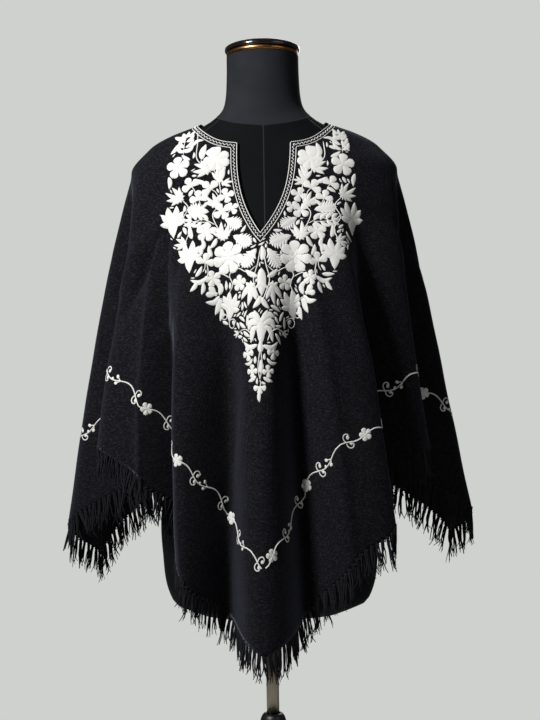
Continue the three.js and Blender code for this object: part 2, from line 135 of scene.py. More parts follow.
def placed_grid(across, up, place):
    """A bmesh grid whose points are placed by their shares across and up, both from 0 to 1."""
    bm = bmesh.new()
    bmesh.ops.create_grid(bm, x_segments=across, y_segments=up, size=1)
    for vert in bm.verts:
        vert.co = place((vert.co.x + 1) / 2, (vert.co.y + 1) / 2)
    bmesh.ops.remove_doubles(bm, verts=bm.verts, dist=WELD)
    return bm


def mesh_from(bm, name):
    mesh = bpy.data.meshes.new(name)
    bm.to_mesh(mesh)
    bm.free()
    return mesh


def finished_piece(name, shape, material, stands_for=()):
    mesh = shape if isinstance(shape, bpy.types.Mesh) else mesh_from(shape, name)
    mesh.materials.clear()
    mesh.materials.append(material)
    mesh.polygons.foreach_set("use_smooth", [True] * len(mesh.polygons))
    piece = bpy.data.objects.new(name, mesh)
    bpy.context.scene.collection.objects.link(piece)
    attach(piece, BODY)
    if stands_for:
        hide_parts(*stands_for)
    mesh.calc_loop_triangles()
    print(f"{name}: {len(mesh.loop_triangles)} triangles")
    return piece


# %% [markdown]
# The camera stands two metres in front of the form's axis, a metre above the floor, and looks level.
# Its lens gives 1.6 mm for each pixel at the axis. The photographer's horizon wasn't quite level, so
# the camera is rolled by a degree. A soft light high at the front left gives the folds their shape,
# and a grid on it lets the lower cloth fall into shade. A weak light from the right keeps the far
# side readable, and a broad one from behind draws the edges of the shoulders and the form. The world
# lights little, but the camera sees it as the pale wall.

# %% Camera, floor and light
CAMERA_AT = Vector((0.0042, -2.0, 1.0))
FRAME_HEIGHT = 1.152
SENSOR = 36
ROLL = 0.94

camera_data = bpy.data.cameras.new("camera")
camera_data.sensor_width = SENSOR
camera_data.lens = SENSOR * -CAMERA_AT.y / FRAME_HEIGHT
camera = bpy.data.objects.new("camera", camera_data)
camera.location = CAMERA_AT
camera.rotation_euler = (math.radians(90), math.radians(ROLL), 0)
bpy.context.scene.collection.objects.link(camera)
bpy.context.scene.camera = camera


def add_light(name, place, target, size, watts, beam=180):
    data = bpy.data.lights.new(name, "AREA")
    data.shape = "DISK"
    data.size = size
    data.spread = math.radians(beam)
    data.energy = watts
    light = bpy.data.objects.new(name, data)
    light.location = place
    light.rotation_euler = (Vector(target) - Vector(place)).to_track_quat("-Z", "Y").to_euler()
    bpy.context.scene.collection.objects.link(light)


add_light("key", (-1.25, -1.35, 2.4), (0, 0, 0.98), 0.5, 27, beam=115)
add_light("fill", (1.8, -1.5, 2.2), (0, 0, 1.25), 1.6, 5)
add_light("rim", (0.6, 2.4, 1.9), (0, 0, 1.0), 1.6, 16)

world = bpy.data.worlds.new("studio")
world.use_nodes = True
tree = world.node_tree
wall_tone = tree.nodes["Background"]
wall_tone.inputs["Color"].default_value = linear("#CFD1CE")
room = add_node(tree, "Background", {"Color": linear("#DDDEDB"), "Strength": 0.07})
seen = add_node(tree, "LightPath")
studio = add_node(
    tree, "MixShader", {0: seen.outputs["Is Camera Ray"], 1: room.outputs[0], 2: wall_tone.outputs[0]}
)
tree.links.new(studio.outputs[0], tree.nodes["World Output"].inputs["Surface"])
bpy.context.scene.world = world
bpy.context.scene.view_settings.view_transform = "Standard"

FLOOR_RADIUS = 1.35
floor_bm = bmesh.new()
bmesh.ops.create_circle(floor_bm, cap_ends=True, segments=96, radius=FLOOR_RADIUS)
floor_mesh = mesh_from(floor_bm, "floor")
paper, _, _ = new_material("pale studio paper", Base_Color=linear("#EDEDEA"), Roughness=0.9)
floor_mesh.materials.append(paper)
floor = bpy.data.objects.new("floor", floor_mesh)
bpy.context.scene.collection.objects.link(floor)
print("lens", round(camera_data.lens, 1), "mm")

# %% [markdown]
# The drape. A square of cloth with its neck in the middle falls in folds whose ridges and valleys
# stay put as lines down the cloth. So the drape is kept as the CAD keeps it: a table with a row for
# each ridge and valley, and smooth curves between the rows. Sizes are millimetres and bearings are
# degrees from the front towards the viewer's right.

# %% The form's outline and the folds
FORM_COLUMNS = ("height", "half", "front", "back", "square")
FORM_SECTIONS = [
    (598, 112, 70, 72, 2.1),
    (618, 155, 102, 106, 2.1),
    (700, 172, 117, 124, 2.1),
    (780, 170, 116, 126, 2.1),
    (920, 131, 98, 95, 2.1),
    (965, 122, 94, 87, 2.1),
    (1020, 126, 98, 88, 2.1),
    (1135, 151, 130, 104, 2.2),
    (1185, 158, 125, 110, 2.2),
    (1275, 186, 88, 107, 2.2),
    (1302, 190, 80, 99, 2.2),
    (1320, 189, 75, 91, 2.2),
    (1338, 175, 70, 80, 2.15),
    (1354, 146, 66, 71, 2.1),
    (1370, 103, 63, 64, 2.05),
    (1384, 80, 60, 61, 2),
    (1398, 66, 58, 58, 2),
    (1416, 60, 56.5, 56.5, 2),
    (1450, 57.5, 56, 56, 2),
    (1484, 57, 56, 56, 2),
]

FOLD_COLUMNS = ("cut", "upper", "lower", "bust", "waist", "low", "hem")
FOLDS = {
    "front ridge": (0, -3, -3, 151, 180, 196, 572),
    "right valley": (9, 17, 22, 142, 131, 133, 619),
    "right ridge": (13, 27, 36, 153, 188, 206, 702),
    "right panel edge": (20, 47, 53, 171, 210, 234, 745),
    "second panel valley": (28, 60, 65, 162, 152, 166, 806),
    "second panel ridge": (42, 79, 79, 220, 243, 277, 860),
    "right wing valley": (60, 87, 88, 186, 173, 184, 848),
    "right wing ridge": (81, 94, 95, 250, 290, 330, 752),
    "right corner": (90, 100, 104, 244, 278, 308, 708),
    "right back valley": (108, 121, 126, 172, 163, 166, 846),
    "back right ridge": (125, 134, 138, 204, 244, 274, 868),
    "back right valley": (140, 147, 149, 146, 139, 150, 832),
    "back right pleat": (153, 157, 159, 177, 222, 252, 774),
    "back middle valley": (166, 168, 169, 130, 128, 140, 688),
    "back ridge": (180, 181, 182, 158, 206, 236, 592),
    "back left groove": (193, 193, 195, 130, 127, 139, 676),
    "back left pleat": (206, 205, 206, 179, 226, 256, 768),
    "back left valley": (221, 215, 216, 147, 141, 152, 836),
    "back left ridge": (236, 226, 225, 207, 248, 280, 866),
    "left back valley": (252, 239, 236, 172, 164, 167, 844),
    "left corner": (270, 259, 252, 242, 276, 297, 680),
    "left wing ridge": (279, 266, 265, 253, 294, 328, 738),
    "left wing valley": (300, 273, 278, 188, 174, 184, 838),
    "left panel edge": (320, 283, 294, 225, 266, 298, 870),
    "left panel": (331, 296, 307, 197, 228, 243, 826),
    "left crease": (338, 302, 307, 174, 172, 176, 772),
    "left ridge": (348, 311, 322, 167, 201, 218, 679),
    "left valley": (354, 335, 333, 142, 130, 134, 617),
}
PLACES = {name: place for place, name in enumerate(FOLDS)}
FOLD_COUNT = len(FOLDS)
CORNERS = [PLACES[name] for name in ("front ridge", "right corner", "back ridge", "left corner")]
FOLD_TABLE = {key: [row[i] for row in FOLDS.values()] for i, key in enumerate(FOLD_COLUMNS)}

HEIGHTS = {"rest": 1338, "shoulder": 1300, "bust": 1150, "waist": 950, "low": 750}
SHOULDER_FLARE = 19
TAPER_BELOW_LOW = 0.6
CLOTH_WALL = 2.4
CLOTH_CLEAR = 1.3
ROW_CROWDING = 1.8
NECKLINE = [(0, 1337), (30, 1337), (46, 1343), (66, 1365), (90, 1378), (135, 1371), (180, 1366)]
SLIT = {"top": 1337, "tip": 1192, "half": 40, "curve": 2.7, "spread": 62, "lean": -3}
print(FOLD_COUNT, "ridges and valleys")

# %% Curves through the tables
def mix(a, b, share):
    return a + (b - a) * share


def clamp(value, low, high):
    return min(max(value, low), high)


def hermite(start, leaving, end, arriving, t):
    """A smooth curve over one step between two values with their slopes."""
    blend = t * t * (3 - 2 * t)
    return mix(start, end, blend) + t * (1 - t) * (leaving * (1 - t) - arriving * t)


def curve_through(knots, at):
    """The value at a place on a smooth curve through (place, value) knots, level beyond the ends."""
    last = len(knots) - 1
    if at <= knots[0][0]:
        return knots[0][1]
    if at >= knots[last][0]:
        return knots[last][1]
    i = next(k for k in range(last) if at < knots[k + 1][0])

    def slope(k):
        before, after = knots[max(k - 1, 0)], knots[min(k + 1, last)]
        return (after[1] - before[1]) / (after[0] - before[0])

    length = knots[i + 1][0] - knots[i][0]
    t = (at - knots[i][0]) / length
    return hermite(knots[i][1], length * slope(i), knots[i + 1][1], length * slope(i + 1), t)


FORM_CURVES = {
    key: [(row[0], row[i]) for row in FORM_SECTIONS] for i, key in enumerate(FORM_COLUMNS) if i
}


@lru_cache(maxsize=None)
def form_section(height):
    return [curve_through(FORM_CURVES[key], height) for key in ("half", "front", "back", "square")]


def form_reach(bearing, height):
    half, front, back, power = form_section(height)
    side, ahead = math.sin(math.radians(bearing)), math.cos(math.radians(bearing))
    deep = front if ahead > 0 else back
    return ((abs(side) / half) ** power + (abs(ahead) / deep) ** power) ** (-1 / power)


def resting_reach(bearing, height):
    off = CLOTH_WALL + CLOTH_CLEAR
    return form_reach(bearing, height - off) + off


@lru_cache(maxsize=None)
def fold_value(key, place):
    """A column of the fold table at a place round the cloth, level on each ridge and valley."""
    turns, i = divmod(math.floor(place), FOLD_COUNT)
    share = place - math.floor(place)
    here = FOLD_TABLE[key][i]
    after = FOLD_TABLE[key][(i + 1) % FOLD_COUNT]
    if key not in ("cut", "upper", "lower"):
        return mix(here, after, (1 - math.cos(math.pi * share)) / 2)
    return mix(here, after + (360 if i + 1 == FOLD_COUNT else 0), share) + 360 * turns


def along_sides(values, place):
    """A smooth curve through a value for each fold that turns sharply at the square's corners."""
    i = math.floor(place)
    before, here, after, beyond = (values[k % FOLD_COUNT] for k in (i - 1, i, i + 1, i + 2))
    leaving = after - here if i % FOLD_COUNT in CORNERS else (after - before) / 2
    arriving = after - here if (i + 1) % FOLD_COUNT in CORNERS else (beyond - here) / 2
    return hermite(here, leaving, after, arriving, place - i)


# %% From a place on the cloth to a point in space
def cloth_reach(place, bearing, height):
    if height >= HEIGHTS["rest"]:
        return resting_reach(bearing, height)
    low, waist = fold_value("low", place), fold_value("waist", place)
    if height <= HEIGHTS["low"]:
        slope = (low - waist) / (HEIGHTS["low"] - HEIGHTS["waist"])
        return low + slope * TAPER_BELOW_LOW * (height - HEIGHTS["low"])
    flare = SHOULDER_FLARE * abs(math.sin(math.radians(bearing))) ** 4
    knots = [
        (HEIGHTS["low"], low),
        (HEIGHTS["waist"], waist),
        (HEIGHTS["bust"], fold_value("bust", place)),
        (HEIGHTS["shoulder"], resting_reach(bearing, HEIGHTS["shoulder"]) + flare),
        (HEIGHTS["rest"], resting_reach(bearing, HEIGHTS["rest"])),
        (HEIGHTS["rest"] + 12, resting_reach(bearing, HEIGHTS["rest"] + 12)),
    ]
    return curve_through(knots, height)


def slit_half(height):
    down = clamp((SLIT["top"] - height) / (SLIT["top"] - SLIT["tip"]), 0, 1)
    return SLIT["half"] * (1 - down ** SLIT["curve"])


def slit_bearing(place, height):
    edge = 0
    for _ in range(6):
        edge = math.degrees(math.asin(slit_half(height) / cloth_reach(place, edge, height)))
    return edge


def cloth_bearing(place, height):
    """The fold lines lean, and the cloth parts round the slit."""
    down = clamp((HEIGHTS["bust"] - height) / (HEIGHTS["bust"] - HEIGHTS["low"]), 0, 1.4)
    bearing = mix(fold_value("upper", place), fold_value("lower", place), down)
    middle = FOLD_TABLE["upper"][0]
    turn = (bearing - middle + 180) % 360 - 180
    if height <= SLIT["tip"] or abs(turn) >= SLIT["spread"]:
        return bearing
    side = 1 if place % FOLD_COUNT < FOLD_COUNT / 2 else -1
    share = abs(turn) / SLIT["spread"]
    up = (SLIT["top"] - min(height, SLIT["top"])) / (SLIT["top"] - SLIT["tip"])
    opened = side * mix(slit_bearing(place, height), SLIT["spread"], share)
    return bearing - turn + (SLIT["lean"] * up - middle) * (1 - share) + opened


def neck_height(bearing):
    return curve_through(NECKLINE, abs((bearing + 180) % 360 - 180))


@lru_cache(maxsize=None)
def column_ends(place):
    return neck_height(cloth_bearing(place, SLIT["top"])), along_sides(FOLD_TABLE["hem"], place)


def cloth_point(place, down):
    """A point of the cloth's outer face, in metres. down runs from 0 at the neck to 1 at the hem."""
    top, hem = column_ends(place)
    height = mix(top, hem, down**ROW_CROWDING)
    bearing = cloth_bearing(place, height)
    reach = cloth_reach(place, bearing, height) * MM
    turn = math.radians(bearing)
    return Vector((reach * math.sin(turn), -reach * math.cos(turn), height * MM))


def down_at(place, height):
    """How far down a column a height lies."""
    top, hem = column_ends(place)
    return clamp((top - height) / (top - hem), 0, 1) ** (1 / ROW_CROWDING)


print("front tip of the hem:", [round(v, 3) for v in cloth_point(0, 1)])

# %% [markdown]
# The cloth itself. A woven square can't stretch much, so each point remembers where it lies in the
# flat cut: its direction from the neck, and its distance in from the hem measured along the cloth.
# That flat place is the UV map, so the threads run straight across the square as they do on the loom.
# The wall is a grid laid on the drape with a live Solidify under it, which keeps the UVs.

# %% Lay the cloth on the drape
HALF_DIAGONAL = 0.884
COLUMNS_PER_FOLD = 11
CLOTH_ROWS = 118
ROW_EVENNESS = 0.75
LAST_PLACE = FOLD_COUNT - 1e-4


def hem_distance(cut):
    """From the neck's middle to the hem of the flat square, in a direction."""
    turn = math.radians(cut)
    return HALF_DIAGONAL / (abs(math.cos(turn)) + abs(math.sin(turn)))


cloth_bm = bmesh.new()
cloth_columns = FOLD_COUNT * COLUMNS_PER_FOLD
bmesh.ops.create_grid(cloth_bm, x_segments=cloth_columns, y_segments=CLOTH_ROWS, size=1)
columns = {}
for vert in cloth_bm.verts:
    place = min((vert.co.x + 1) / 2 * FOLD_COUNT, LAST_PLACE)
    share = (1 - vert.co.y) / 2
    columns.setdefault(round(place, 4), []).append((share, vert))

flat_place = {}
for place, column in columns.items():
    column.sort(key=lambda item: item[0])
    for share, vert in column:
        vert.co = cloth_point(place, share**ROW_EVENNESS)
    cut = fold_value("cut", place)
    from_middle = hem_distance(cut)
    for (_, vert), (_, below) in reversed(list(zip(column, column[1:] + [column[-1]]))):
        from_middle -= (vert.co - below.co).length
        turn = math.radians(cut)
        flat_place[vert] = Vector((from_middle * math.sin(turn), -from_middle * math.cos(turn)))
first, last = min(columns), max(columns)
welded = {}
for (_, kept), (_, lost) in zip(columns[first], columns[last]):
    if (kept.co - lost.co).length < WELD:
        welded[lost] = kept
        del flat_place[lost]
bmesh.ops.weld_verts(cloth_bm, targetmap=welded)
columns[last] = [(share, welded.get(vert, vert)) for share, vert in columns[last]]
print(len(columns), "columns of", len(column), "points, joined below the slit")

# %% [markdown]
# Creases. Heavy wool that has been folded away keeps soft troughs and ridges that cut across its
# folds. Each has a row: where it starts and ends on the cloth, how deep it is and how wide. A slow
# unevenness of about a millimetre keeps the long folds from looking turned on a lathe.

# %% Creases and unevenness
CREASES = [
    # from place, down, to place, down, depth, width, all sizes in mm
    (24.4, 0.51, 23.4, 0.75, -8.0, 10),
    (23.9, 0.50, 23.0, 0.70, 4.5, 13),
    (24.3, 0.56, 23.1, 0.80, -3.0, 18),
    (25.6, 0.62, 24.4, 0.78, 2.5, 14),
    (26.7, 0.60, 26.2, 0.86, 2.2, 16),
    (27.5, 0.66, 26.9, 0.90, -2.0, 12),
    (0.35, 0.58, 0.05, 0.84, 2.0, 15),
    (1.9, 0.52, 2.7, 0.74, -2.2, 14),
    (2.6, 0.62, 3.4, 0.88, 2.4, 16),
    (4.2, 0.46, 5.3, 0.60, -3.5, 16),
    (4.9, 0.60, 5.8, 0.82, 2.6, 18),
    (6.4, 0.44, 7.3, 0.62, -3.2, 15),
    (7.4, 0.60, 8.2, 0.84, 2.6, 18),
    (9.2, 0.50, 10.2, 0.70, -3.0, 16),
    (10.6, 0.62, 11.6, 0.86, 2.4, 16),
    (12.3, 0.46, 13.1, 0.66, -2.4, 15),
    (14.4, 0.58, 13.6, 0.82, 2.4, 16),
    (16.2, 0.48, 15.3, 0.72, -2.6, 15),
    (17.7, 0.60, 16.8, 0.86, 2.4, 17),
    (18.8, 0.52, 17.9, 0.70, -3.0, 16),
    (20.7, 0.50, 19.6, 0.72, 2.8, 17),
]
UNEVEN = 1.3
UNEVEN_SIZE = 85
SETTLED_FROM, SETTLED_TO = 1240, 1310


def flat_at(place, down):
    """The flat place of a point on the cloth, from the nearest column and row."""
    key = min(columns, key=lambda other: abs(other - place % FOLD_COUNT))
    share = down ** (1 / ROW_EVENNESS)
    return flat_place[min(columns[key], key=lambda item: abs(item[0] - share))[1]]


def crease_push(flat, start, end, width):
    """1 on the crease, falling off across it and towards its ends."""
    line = end - start
    along = clamp((flat - start).dot(line) / line.length_squared, 0, 1)
    away = (flat - start - line * along).length / width
    return math.exp(-away * away * 2) * math.sin(math.pi * mix(0.12, 0.88, along)) if away < 2.5 else 0


crease_lines = [
    (flat_at(p, d), flat_at(q, e), depth * MM, width * MM) for p, d, q, e, depth, width in CREASES
]
cloth_bm.normal_update()
pushes = {}
for vert in cloth_bm.verts:
    push = noise.noise(vert.co / (UNEVEN_SIZE * MM)) * UNEVEN * MM
    for start, end, depth, width in crease_lines:
        push += depth * crease_push(flat_place[vert], start, end, width)
    height = vert.co.z / MM
    pushes[vert] = push * clamp((SETTLED_TO - height) / (SETTLED_TO - SETTLED_FROM), 0, 1)
for vert, push in pushes.items():
    vert.co += vert.normal * push

cut_map = cloth_bm.loops.layers.uv.new("cut")
for face in cloth_bm.faces:
    for loop in face.loops:
        loop[cut_map].uv = flat_place[loop.vert]
cloth_bm.normal_update()
cloth_face = BVHTree.FromBMesh(cloth_bm)
print("deepest crease", round(min(pushes.values()) / MM, 1), "mm")

# %% [markdown]
# The finish of the cloth. Worsted wool in a 2/2 twill is nearly black, has no gloss and a short nap
# that catches light at a grazing angle, which sheen gives. The real rib is a millimetre apart, finer
# than the picture shows, so it is drawn at 2.2 mm. The nap lies in tufts four millimetres long and
# two high. Cloudy patches and a few pale specks of lint keep the black from being one flat tone.

# %% Black wool twill
TWILL_RIB = 2.2 * MM
NAP = 2.1 * MM
CLOUD = 55 * MM
LINT = 4 * MM
WALL_THICKNESS = 2.2 * MM
wool, tree, shader = new_material(
    "black wool twill", Roughness=0.92, Sheen_Weight=0.5, Sheen_Roughness=0.38, Specular_IOR_Level=0.1
)
shader.inputs["Sheen Tint"].default_value = linear("#7C7F92")
threads = add_node(tree, "UVMap", uv_map="cut").outputs["UV"]
rib = bands(tree, threads, TWILL_RIB, 1.2, detail=1.0, detail_scale=2.0)
on_cloth = add_node(tree, "TexCoord").outputs["Object"]
drawn_out = add_node(tree, "Mapping", {"Vector": on_cloth, "Scale": (0.5, 0.5, 1.3)})
nap = lumps(tree, NAP, 3.0, drawn_out.outputs["Vector"])
black = shade(tree, lumps(tree, CLOUD, 3.0, on_cloth), "#070709", "#0D0D11")
napped = shade(tree, in_range(tree, nap, 0.46, 0.72, to_high=0.9), black, "#25252B")
speck = in_range(tree, lumps(tree, LINT, 1.0, on_cloth), 0.79, 0.84)
relief = add_node(tree, "Math", {0: rib, 1: nap}, operation="ADD").outputs[0]
finish = {"Base Color": shade(tree, speck, napped, "#4A4A50"), "Normal": bumps(tree, relief, 0.6, 0.5 * MM)}
connect(tree, shader, finish)

cloth = finished_piece("poncho", cloth_bm, wool, ["poncho_cloth"])
wall = cloth.modifiers.new("wall", "SOLIDIFY")
wall.thickness = WALL_THICKNESS
wall.offset = -1

# %% [markdown]
# Lines on a surface. Embroidery, seams and piping are all narrow bands that follow a path on some
# surface. So one function makes them: a small grid is laid along the path, widened by an outline such
# as a leaf's, domed across and pressed at its edges into the surface. Its UV map runs across and along
# the band in metres, for the threads of satin stitch.

# %% A path laid on a surface
def spread_evenly(points, spacing, bent=True):
    """Points at equal steps along a path, on a smooth curve through them if it is bent."""
    if bent:
        points = rounded_path(points)
    lengths = [0.0]
    for a, b in zip(points, points[1:]):
        lengths.append(lengths[-1] + (b - a).length)
    count = max(2, round(lengths[-1] / spacing))
    spread = []
    i = 0
    for k in range(count + 1):
        at = lengths[-1] * k / count
        while i < len(points) - 2 and lengths[i + 1] < at:
            i += 1
        step = lengths[i + 1] - lengths[i]
        spread.append(points[i].lerp(points[i + 1], (at - lengths[i]) / step if step else 0))
    return spread


def rounded_path(points, between=6):
    """A smooth curve through the points, with a few more between each two."""
    if len(points) < 3:
        return points
    ends = [points[0] * 2 - points[1], *points, points[-1] * 2 - points[-2]]
    curve = []
    for a, b, c, d in zip(ends, ends[1:], ends[2:], ends[3:]):
        for k in range(between):
            t = k / between
            bend = (c - a) * t + (a * 2 - b * 5 + c * 4 - d) * t**2 + (b * 3 - a - c * 3 + d) * t**3
            curve.append(b + bend * 0.5)
    return [*curve, points[-1]]


# %% A band along a path
ACROSS = 4
SUNK = 0.5 * MM
LINE_SUNK = 0.3 * MM


def lay_band(bm, surface, path, width, rise, outline=lambda along: 1.0, sway=None, sunk=SUNK):
    """Adds a domed band along a path of points on a surface. sway moves it sideways at a distance."""
    uv_map = bm.loops.layers.uv.verify()
    last = len(path) - 1
    frames, run = [], 0.0
    for i, point in enumerate(path):
        ahead = (path[min(i + 1, last)] - path[max(i - 1, 0)]).normalized()
        spot, normal, _, _ = surface.find_nearest(point)
        if i:
            run += (point - path[i - 1]).length
        side = normal.cross(ahead).normalized()
        shift = side * sway(run) if sway else Vector()
        frames.append((spot + shift, side, run))
    if sway:
        swayed = [spot for spot, _, _ in frames]
        for i, (spot, _, run) in enumerate(frames):
            ahead = (swayed[min(i + 1, last)] - swayed[max(i - 1, 0)]).normalized()
            normal = surface.find_nearest(spot)[1]
            frames[i] = (spot, normal.cross(ahead).normalized(), run)
    grid = bmesh.ops.create_grid(bm, x_segments=last, y_segments=ACROSS, size=1)
    stitches = {}
    for vert in grid["verts"]:
        along, across = (vert.co.x + 1) / 2, vert.co.y
        spot, side, run = frames[round(along * last)]
        half = width / 2 * outline(along)
        foot, normal, _, _ = surface.find_nearest(spot + side * across * half)
        fullness = min(1, half / (width * 0.22))
        vert.co = foot + normal * (rise * fullness * (1 - abs(across) ** 2.6) - sunk * abs(across) ** 2.6)
        stitches[vert] = (run, across * half)
    for vert in grid["verts"]:
        for loop in vert.link_loops:
            loop[uv_map].uv = stitches[vert]


# %% [markdown]
# The outlines of a stitched shape: how wide it is along its length, from 0 at its root to 1 at its
# tip. A needle makes a few kinds again and again: a stem, a leaf pointed at both ends, a round petal,
# a fan, a drop and a ball.

# %% Outlines of stitched shapes
def round_end(along, start):
    over = clamp((along - start) / (1 - start), 0, 1)
    return math.sqrt(max(1 - over * over, 0.0))


OUTLINES = {
    "stem": lambda t: min(1, 0.3 + 8 * t) * round_end(t, 0.92),
    "leaf": lambda t: max(math.sin(math.pi * t**0.85), 0) ** 0.75,
    "petal": lambda t: mix(0.34, 1, clamp(t / 0.62, 0, 1) ** 1.2) * round_end(t, 0.58) + 0.01,
    "fan": lambda t: mix(0.2, 1, clamp(t / 0.8, 0, 1)) * round_end(t, 0.74) ** 1.3 + 0.01,
    "drop": lambda t: clamp(t / 0.6, 0, 1) ** 0.8 * round_end(t, 0.55) + 0.02,
    "ball": lambda t: round_end(abs(2 * t - 1), 0) + 0.02,
}
SEGMENTS = {"ball": 7, "stem": 16}
SEGMENTS_ELSE = 11

# %% [markdown]
# The motifs. Each one is a short list of strokes in its own plane, in millimetres, with its head up:
# an outline, a width and the points of a middle line. They are ordinary flowers, leaves, sprigs and
# curls, drawn afresh in the same manner and size as the real ones. Their petals are so plump that they
# meet, as they do where the stitches fill each shape to its edge.

# %% Strokes and motifs
def ray(angle, start, end, bow=0.0):
    """Points straight out from a motif's middle at an angle from its head, bowed to one side."""
    turn = math.radians(angle)
    out, side = Vector((math.sin(turn), math.cos(turn))), Vector((math.cos(turn), -math.sin(turn)))
    return [out * start, out * mix(start, end, 0.5) + side * bow, out * end]


def ball(size, at=Vector((0, 0))):
    return ("ball", size, [at + p for p in ray(20, -size / 2, size / 2)])


def on_both_sides(outline, width, points):
    """A stroke and its mirror image."""
    return [(outline, width, [Vector((side * x, y)) for x, y in points]) for side in (-1, 1)]


def flower(size, petals=5, plump=1.0):
    width = size * plump * 2.5 / petals
    strokes = [("petal", width, ray(360 * k / petals, size * 0.02, size * 0.5)) for k in range(petals)]
    return [*strokes, ball(size * 0.18)]


def rose(size):
    """A wide ring of petals round a smaller one."""
    strokes = [("petal", size * 0.42, ray(360 * k / 7, size * 0.1, size * 0.5)) for k in range(7)]
    strokes += [("petal", size * 0.24, ray(25 + 72 * k, 0, size * 0.24)) for k in range(5)]
    return [*strokes, ball(size * 0.12)]


def fan_flower(size):
    """A trumpet with a wide mouth and round petals behind it."""
    strokes = [("fan", size * 0.8, ray(0, -size * 0.12, size * 0.52))]
    behind = [("petal", size * 0.44, ray(angle, 0, size * 0.48)) for angle in (78, 130, 180, 230, 282)]
    return strokes + behind


def lily(size):
    """Pointed petals over a pear-shaped foot."""
    strokes = [("drop", size * 0.5, ray(180, size * 0.52, -size * 0.16))]
    for angle in (-92, -54, -18, 18, 54, 92):
        reach = size * mix(0.52, 0.44, abs(angle) / 92)
        bow = math.copysign(size * 0.05, angle)
        strokes.append(("leaf", size * 0.3, ray(angle, -size * 0.04, reach, bow)))
    return strokes


def palmette(size):
    """Three pairs of arching leaves round a pear."""
    pairs = [
        [(0.02, 0.1), (0.2, 0.32), (0.5, 0.26)],
        [(0.02, 0.08), (0.12, 0.3), (0.2, 0.46)],
        [(0.04, 0.05), (0.3, 0.14), (0.48, -0.1)],
        [(0.05, -0.02), (0.26, -0.08), (0.36, -0.44)],
    ]
    strokes = [("drop", size * 0.42, ray(180, size * 0.52, -size * 0.24))]
    for pair, width in zip(pairs, (0.25, 0.2, 0.25, 0.22)):
        strokes += on_both_sides("leaf", size * width, [(x * size, y * size) for x, y in pair])
    return strokes


def trefoil(size):
    """Three petals on a short stem."""
    strokes = [("petal", size * 0.56, ray(angle, 0, size * 0.54)) for angle in (-82, 0, 82)]
    return strokes + [("stem", 2.0, ray(180, 0, size * 0.56, size * 0.06))]


def leaf(size, broad=0.46, bow=0.08):
    return [("leaf", size * broad, ray(0, -size / 2, size / 2, size * bow))]


def fern(size, pairs=6):
    """A broad leaf with a toothed edge."""
    strokes = [("leaf", size * 0.42, ray(0, -size / 2, size / 2))]
    for k in range(pairs):
        root = mix(-0.3, 0.3, k / (pairs - 1))
        reach = 0.36 * math.sin(math.pi * mix(0.28, 0.86, k / (pairs - 1)))
        points = [(0.02, root), (reach * 0.55, root + reach * 0.42), (reach, root + reach * 0.6)]
        strokes += on_both_sides("leaf", size * 0.15, [(x * size, y * size) for x, y in points])
    return strokes


def fingers(size, count, spread):
    """Narrow leaves that fan out from one root."""
    width = size * min(0.3, 1.35 / count)
    strokes = []
    for k in range(count):
        angle = mix(-spread / 2, spread / 2, k / (count - 1))
        reach = size * mix(0.62, 0.42, abs(angle) / 90)
        strokes.append(("leaf", width, ray(angle, -size * 0.3, reach, math.copysign(size * 0.06, angle))))
    return strokes


def feather(size, pairs=4):
    """Pairs of leaves along a stem, with one more at its end."""
    strokes = [("stem", 2.0, ray(0, -size / 2, size / 2, size * 0.05))]
    for k in range(pairs):
        root = size * mix(-0.4, 0.26, k / (pairs - 1))
        reach = size * mix(0.36, 0.24, k / pairs)
        points = [(0.4, root), (reach * 0.5, root + reach * 0.3), (reach * 0.8, root + reach * 1.0)]
        strokes += on_both_sides("leaf", size * 0.19, points)
    return strokes + [("leaf", size * 0.16, ray(0, size * 0.2, size * 0.58))]


def tendril(size, width, hand=1):
    """A thin line that winds into a round end."""
    points = []
    for k in range(13):
        turn = math.radians(-90 + 380 * k / 12)
        radius = size * mix(0.5, 0.2, (k / 12) ** 0.8)
        points.append(Vector((hand * radius * math.sin(turn), radius * math.cos(turn))))
    points = [p - points[0] for p in points]
    return [("stem", width, points), ball(size * 0.42, points[-1])]


def crescent(size):
    """Two leaves that curve up like horns, with two petals between them."""
    horn = [(0, -0.2), (0.34, -0.12), (0.5, 0.24)]
    strokes = on_both_sides("leaf", size * 0.3, [(x * size, y * size) for x, y in horn])
    return strokes + [("petal", size * 0.34, ray(angle, -size * 0.1, size * 0.4)) for angle in (-30, 30)]


def bud(size):
    """A long pointed bud between two small leaves."""
    strokes = [("leaf", size * 0.42, ray(0, -size / 2, size / 2))]
    side_leaf = [(0.5, 0), (size * 0.14, size * 0.16), (size * 0.26, size * 0.2)]
    return strokes + on_both_sides("leaf", size * 0.15, side_leaf)


MOTIFS = {
    "flower 5": lambda size: flower(size, 5),
    "flower 4": lambda size: flower(size, 4, 0.88),
    "rose": rose,
    "fan flower": fan_flower,
    "lily": lily,
    "palmette": palmette,
    "trefoil": trefoil,
    "leaf": leaf,
    "arch": lambda size: leaf(size, 0.36, 0.24),
    "fern": fern,
    "fingers 5": lambda size: fingers(size, 5, 140),
    "fingers 4": lambda size: fingers(size, 4, 110),
    "fingers 3": lambda size: fingers(size, 3, 80),
    "feather": feather,
    "curl": lambda size: tendril(size, 2.2),
    "crescent": crescent,
    "bud": bud,
    "drop": lambda size: [("drop", size * 0.6, ray(0, -size / 2, size / 2))],
}
print(len(MOTIFS), "kinds of motif")

# %% [markdown]
# Putting a motif on the cloth. A sewer draws it on the flat cloth, so it is laid in the plane that
# touches the cloth at its middle and each stitch is then pressed onto the cloth. A motif of the yoke is
# found along the line of sight from the camera, because that is how its place was measured.

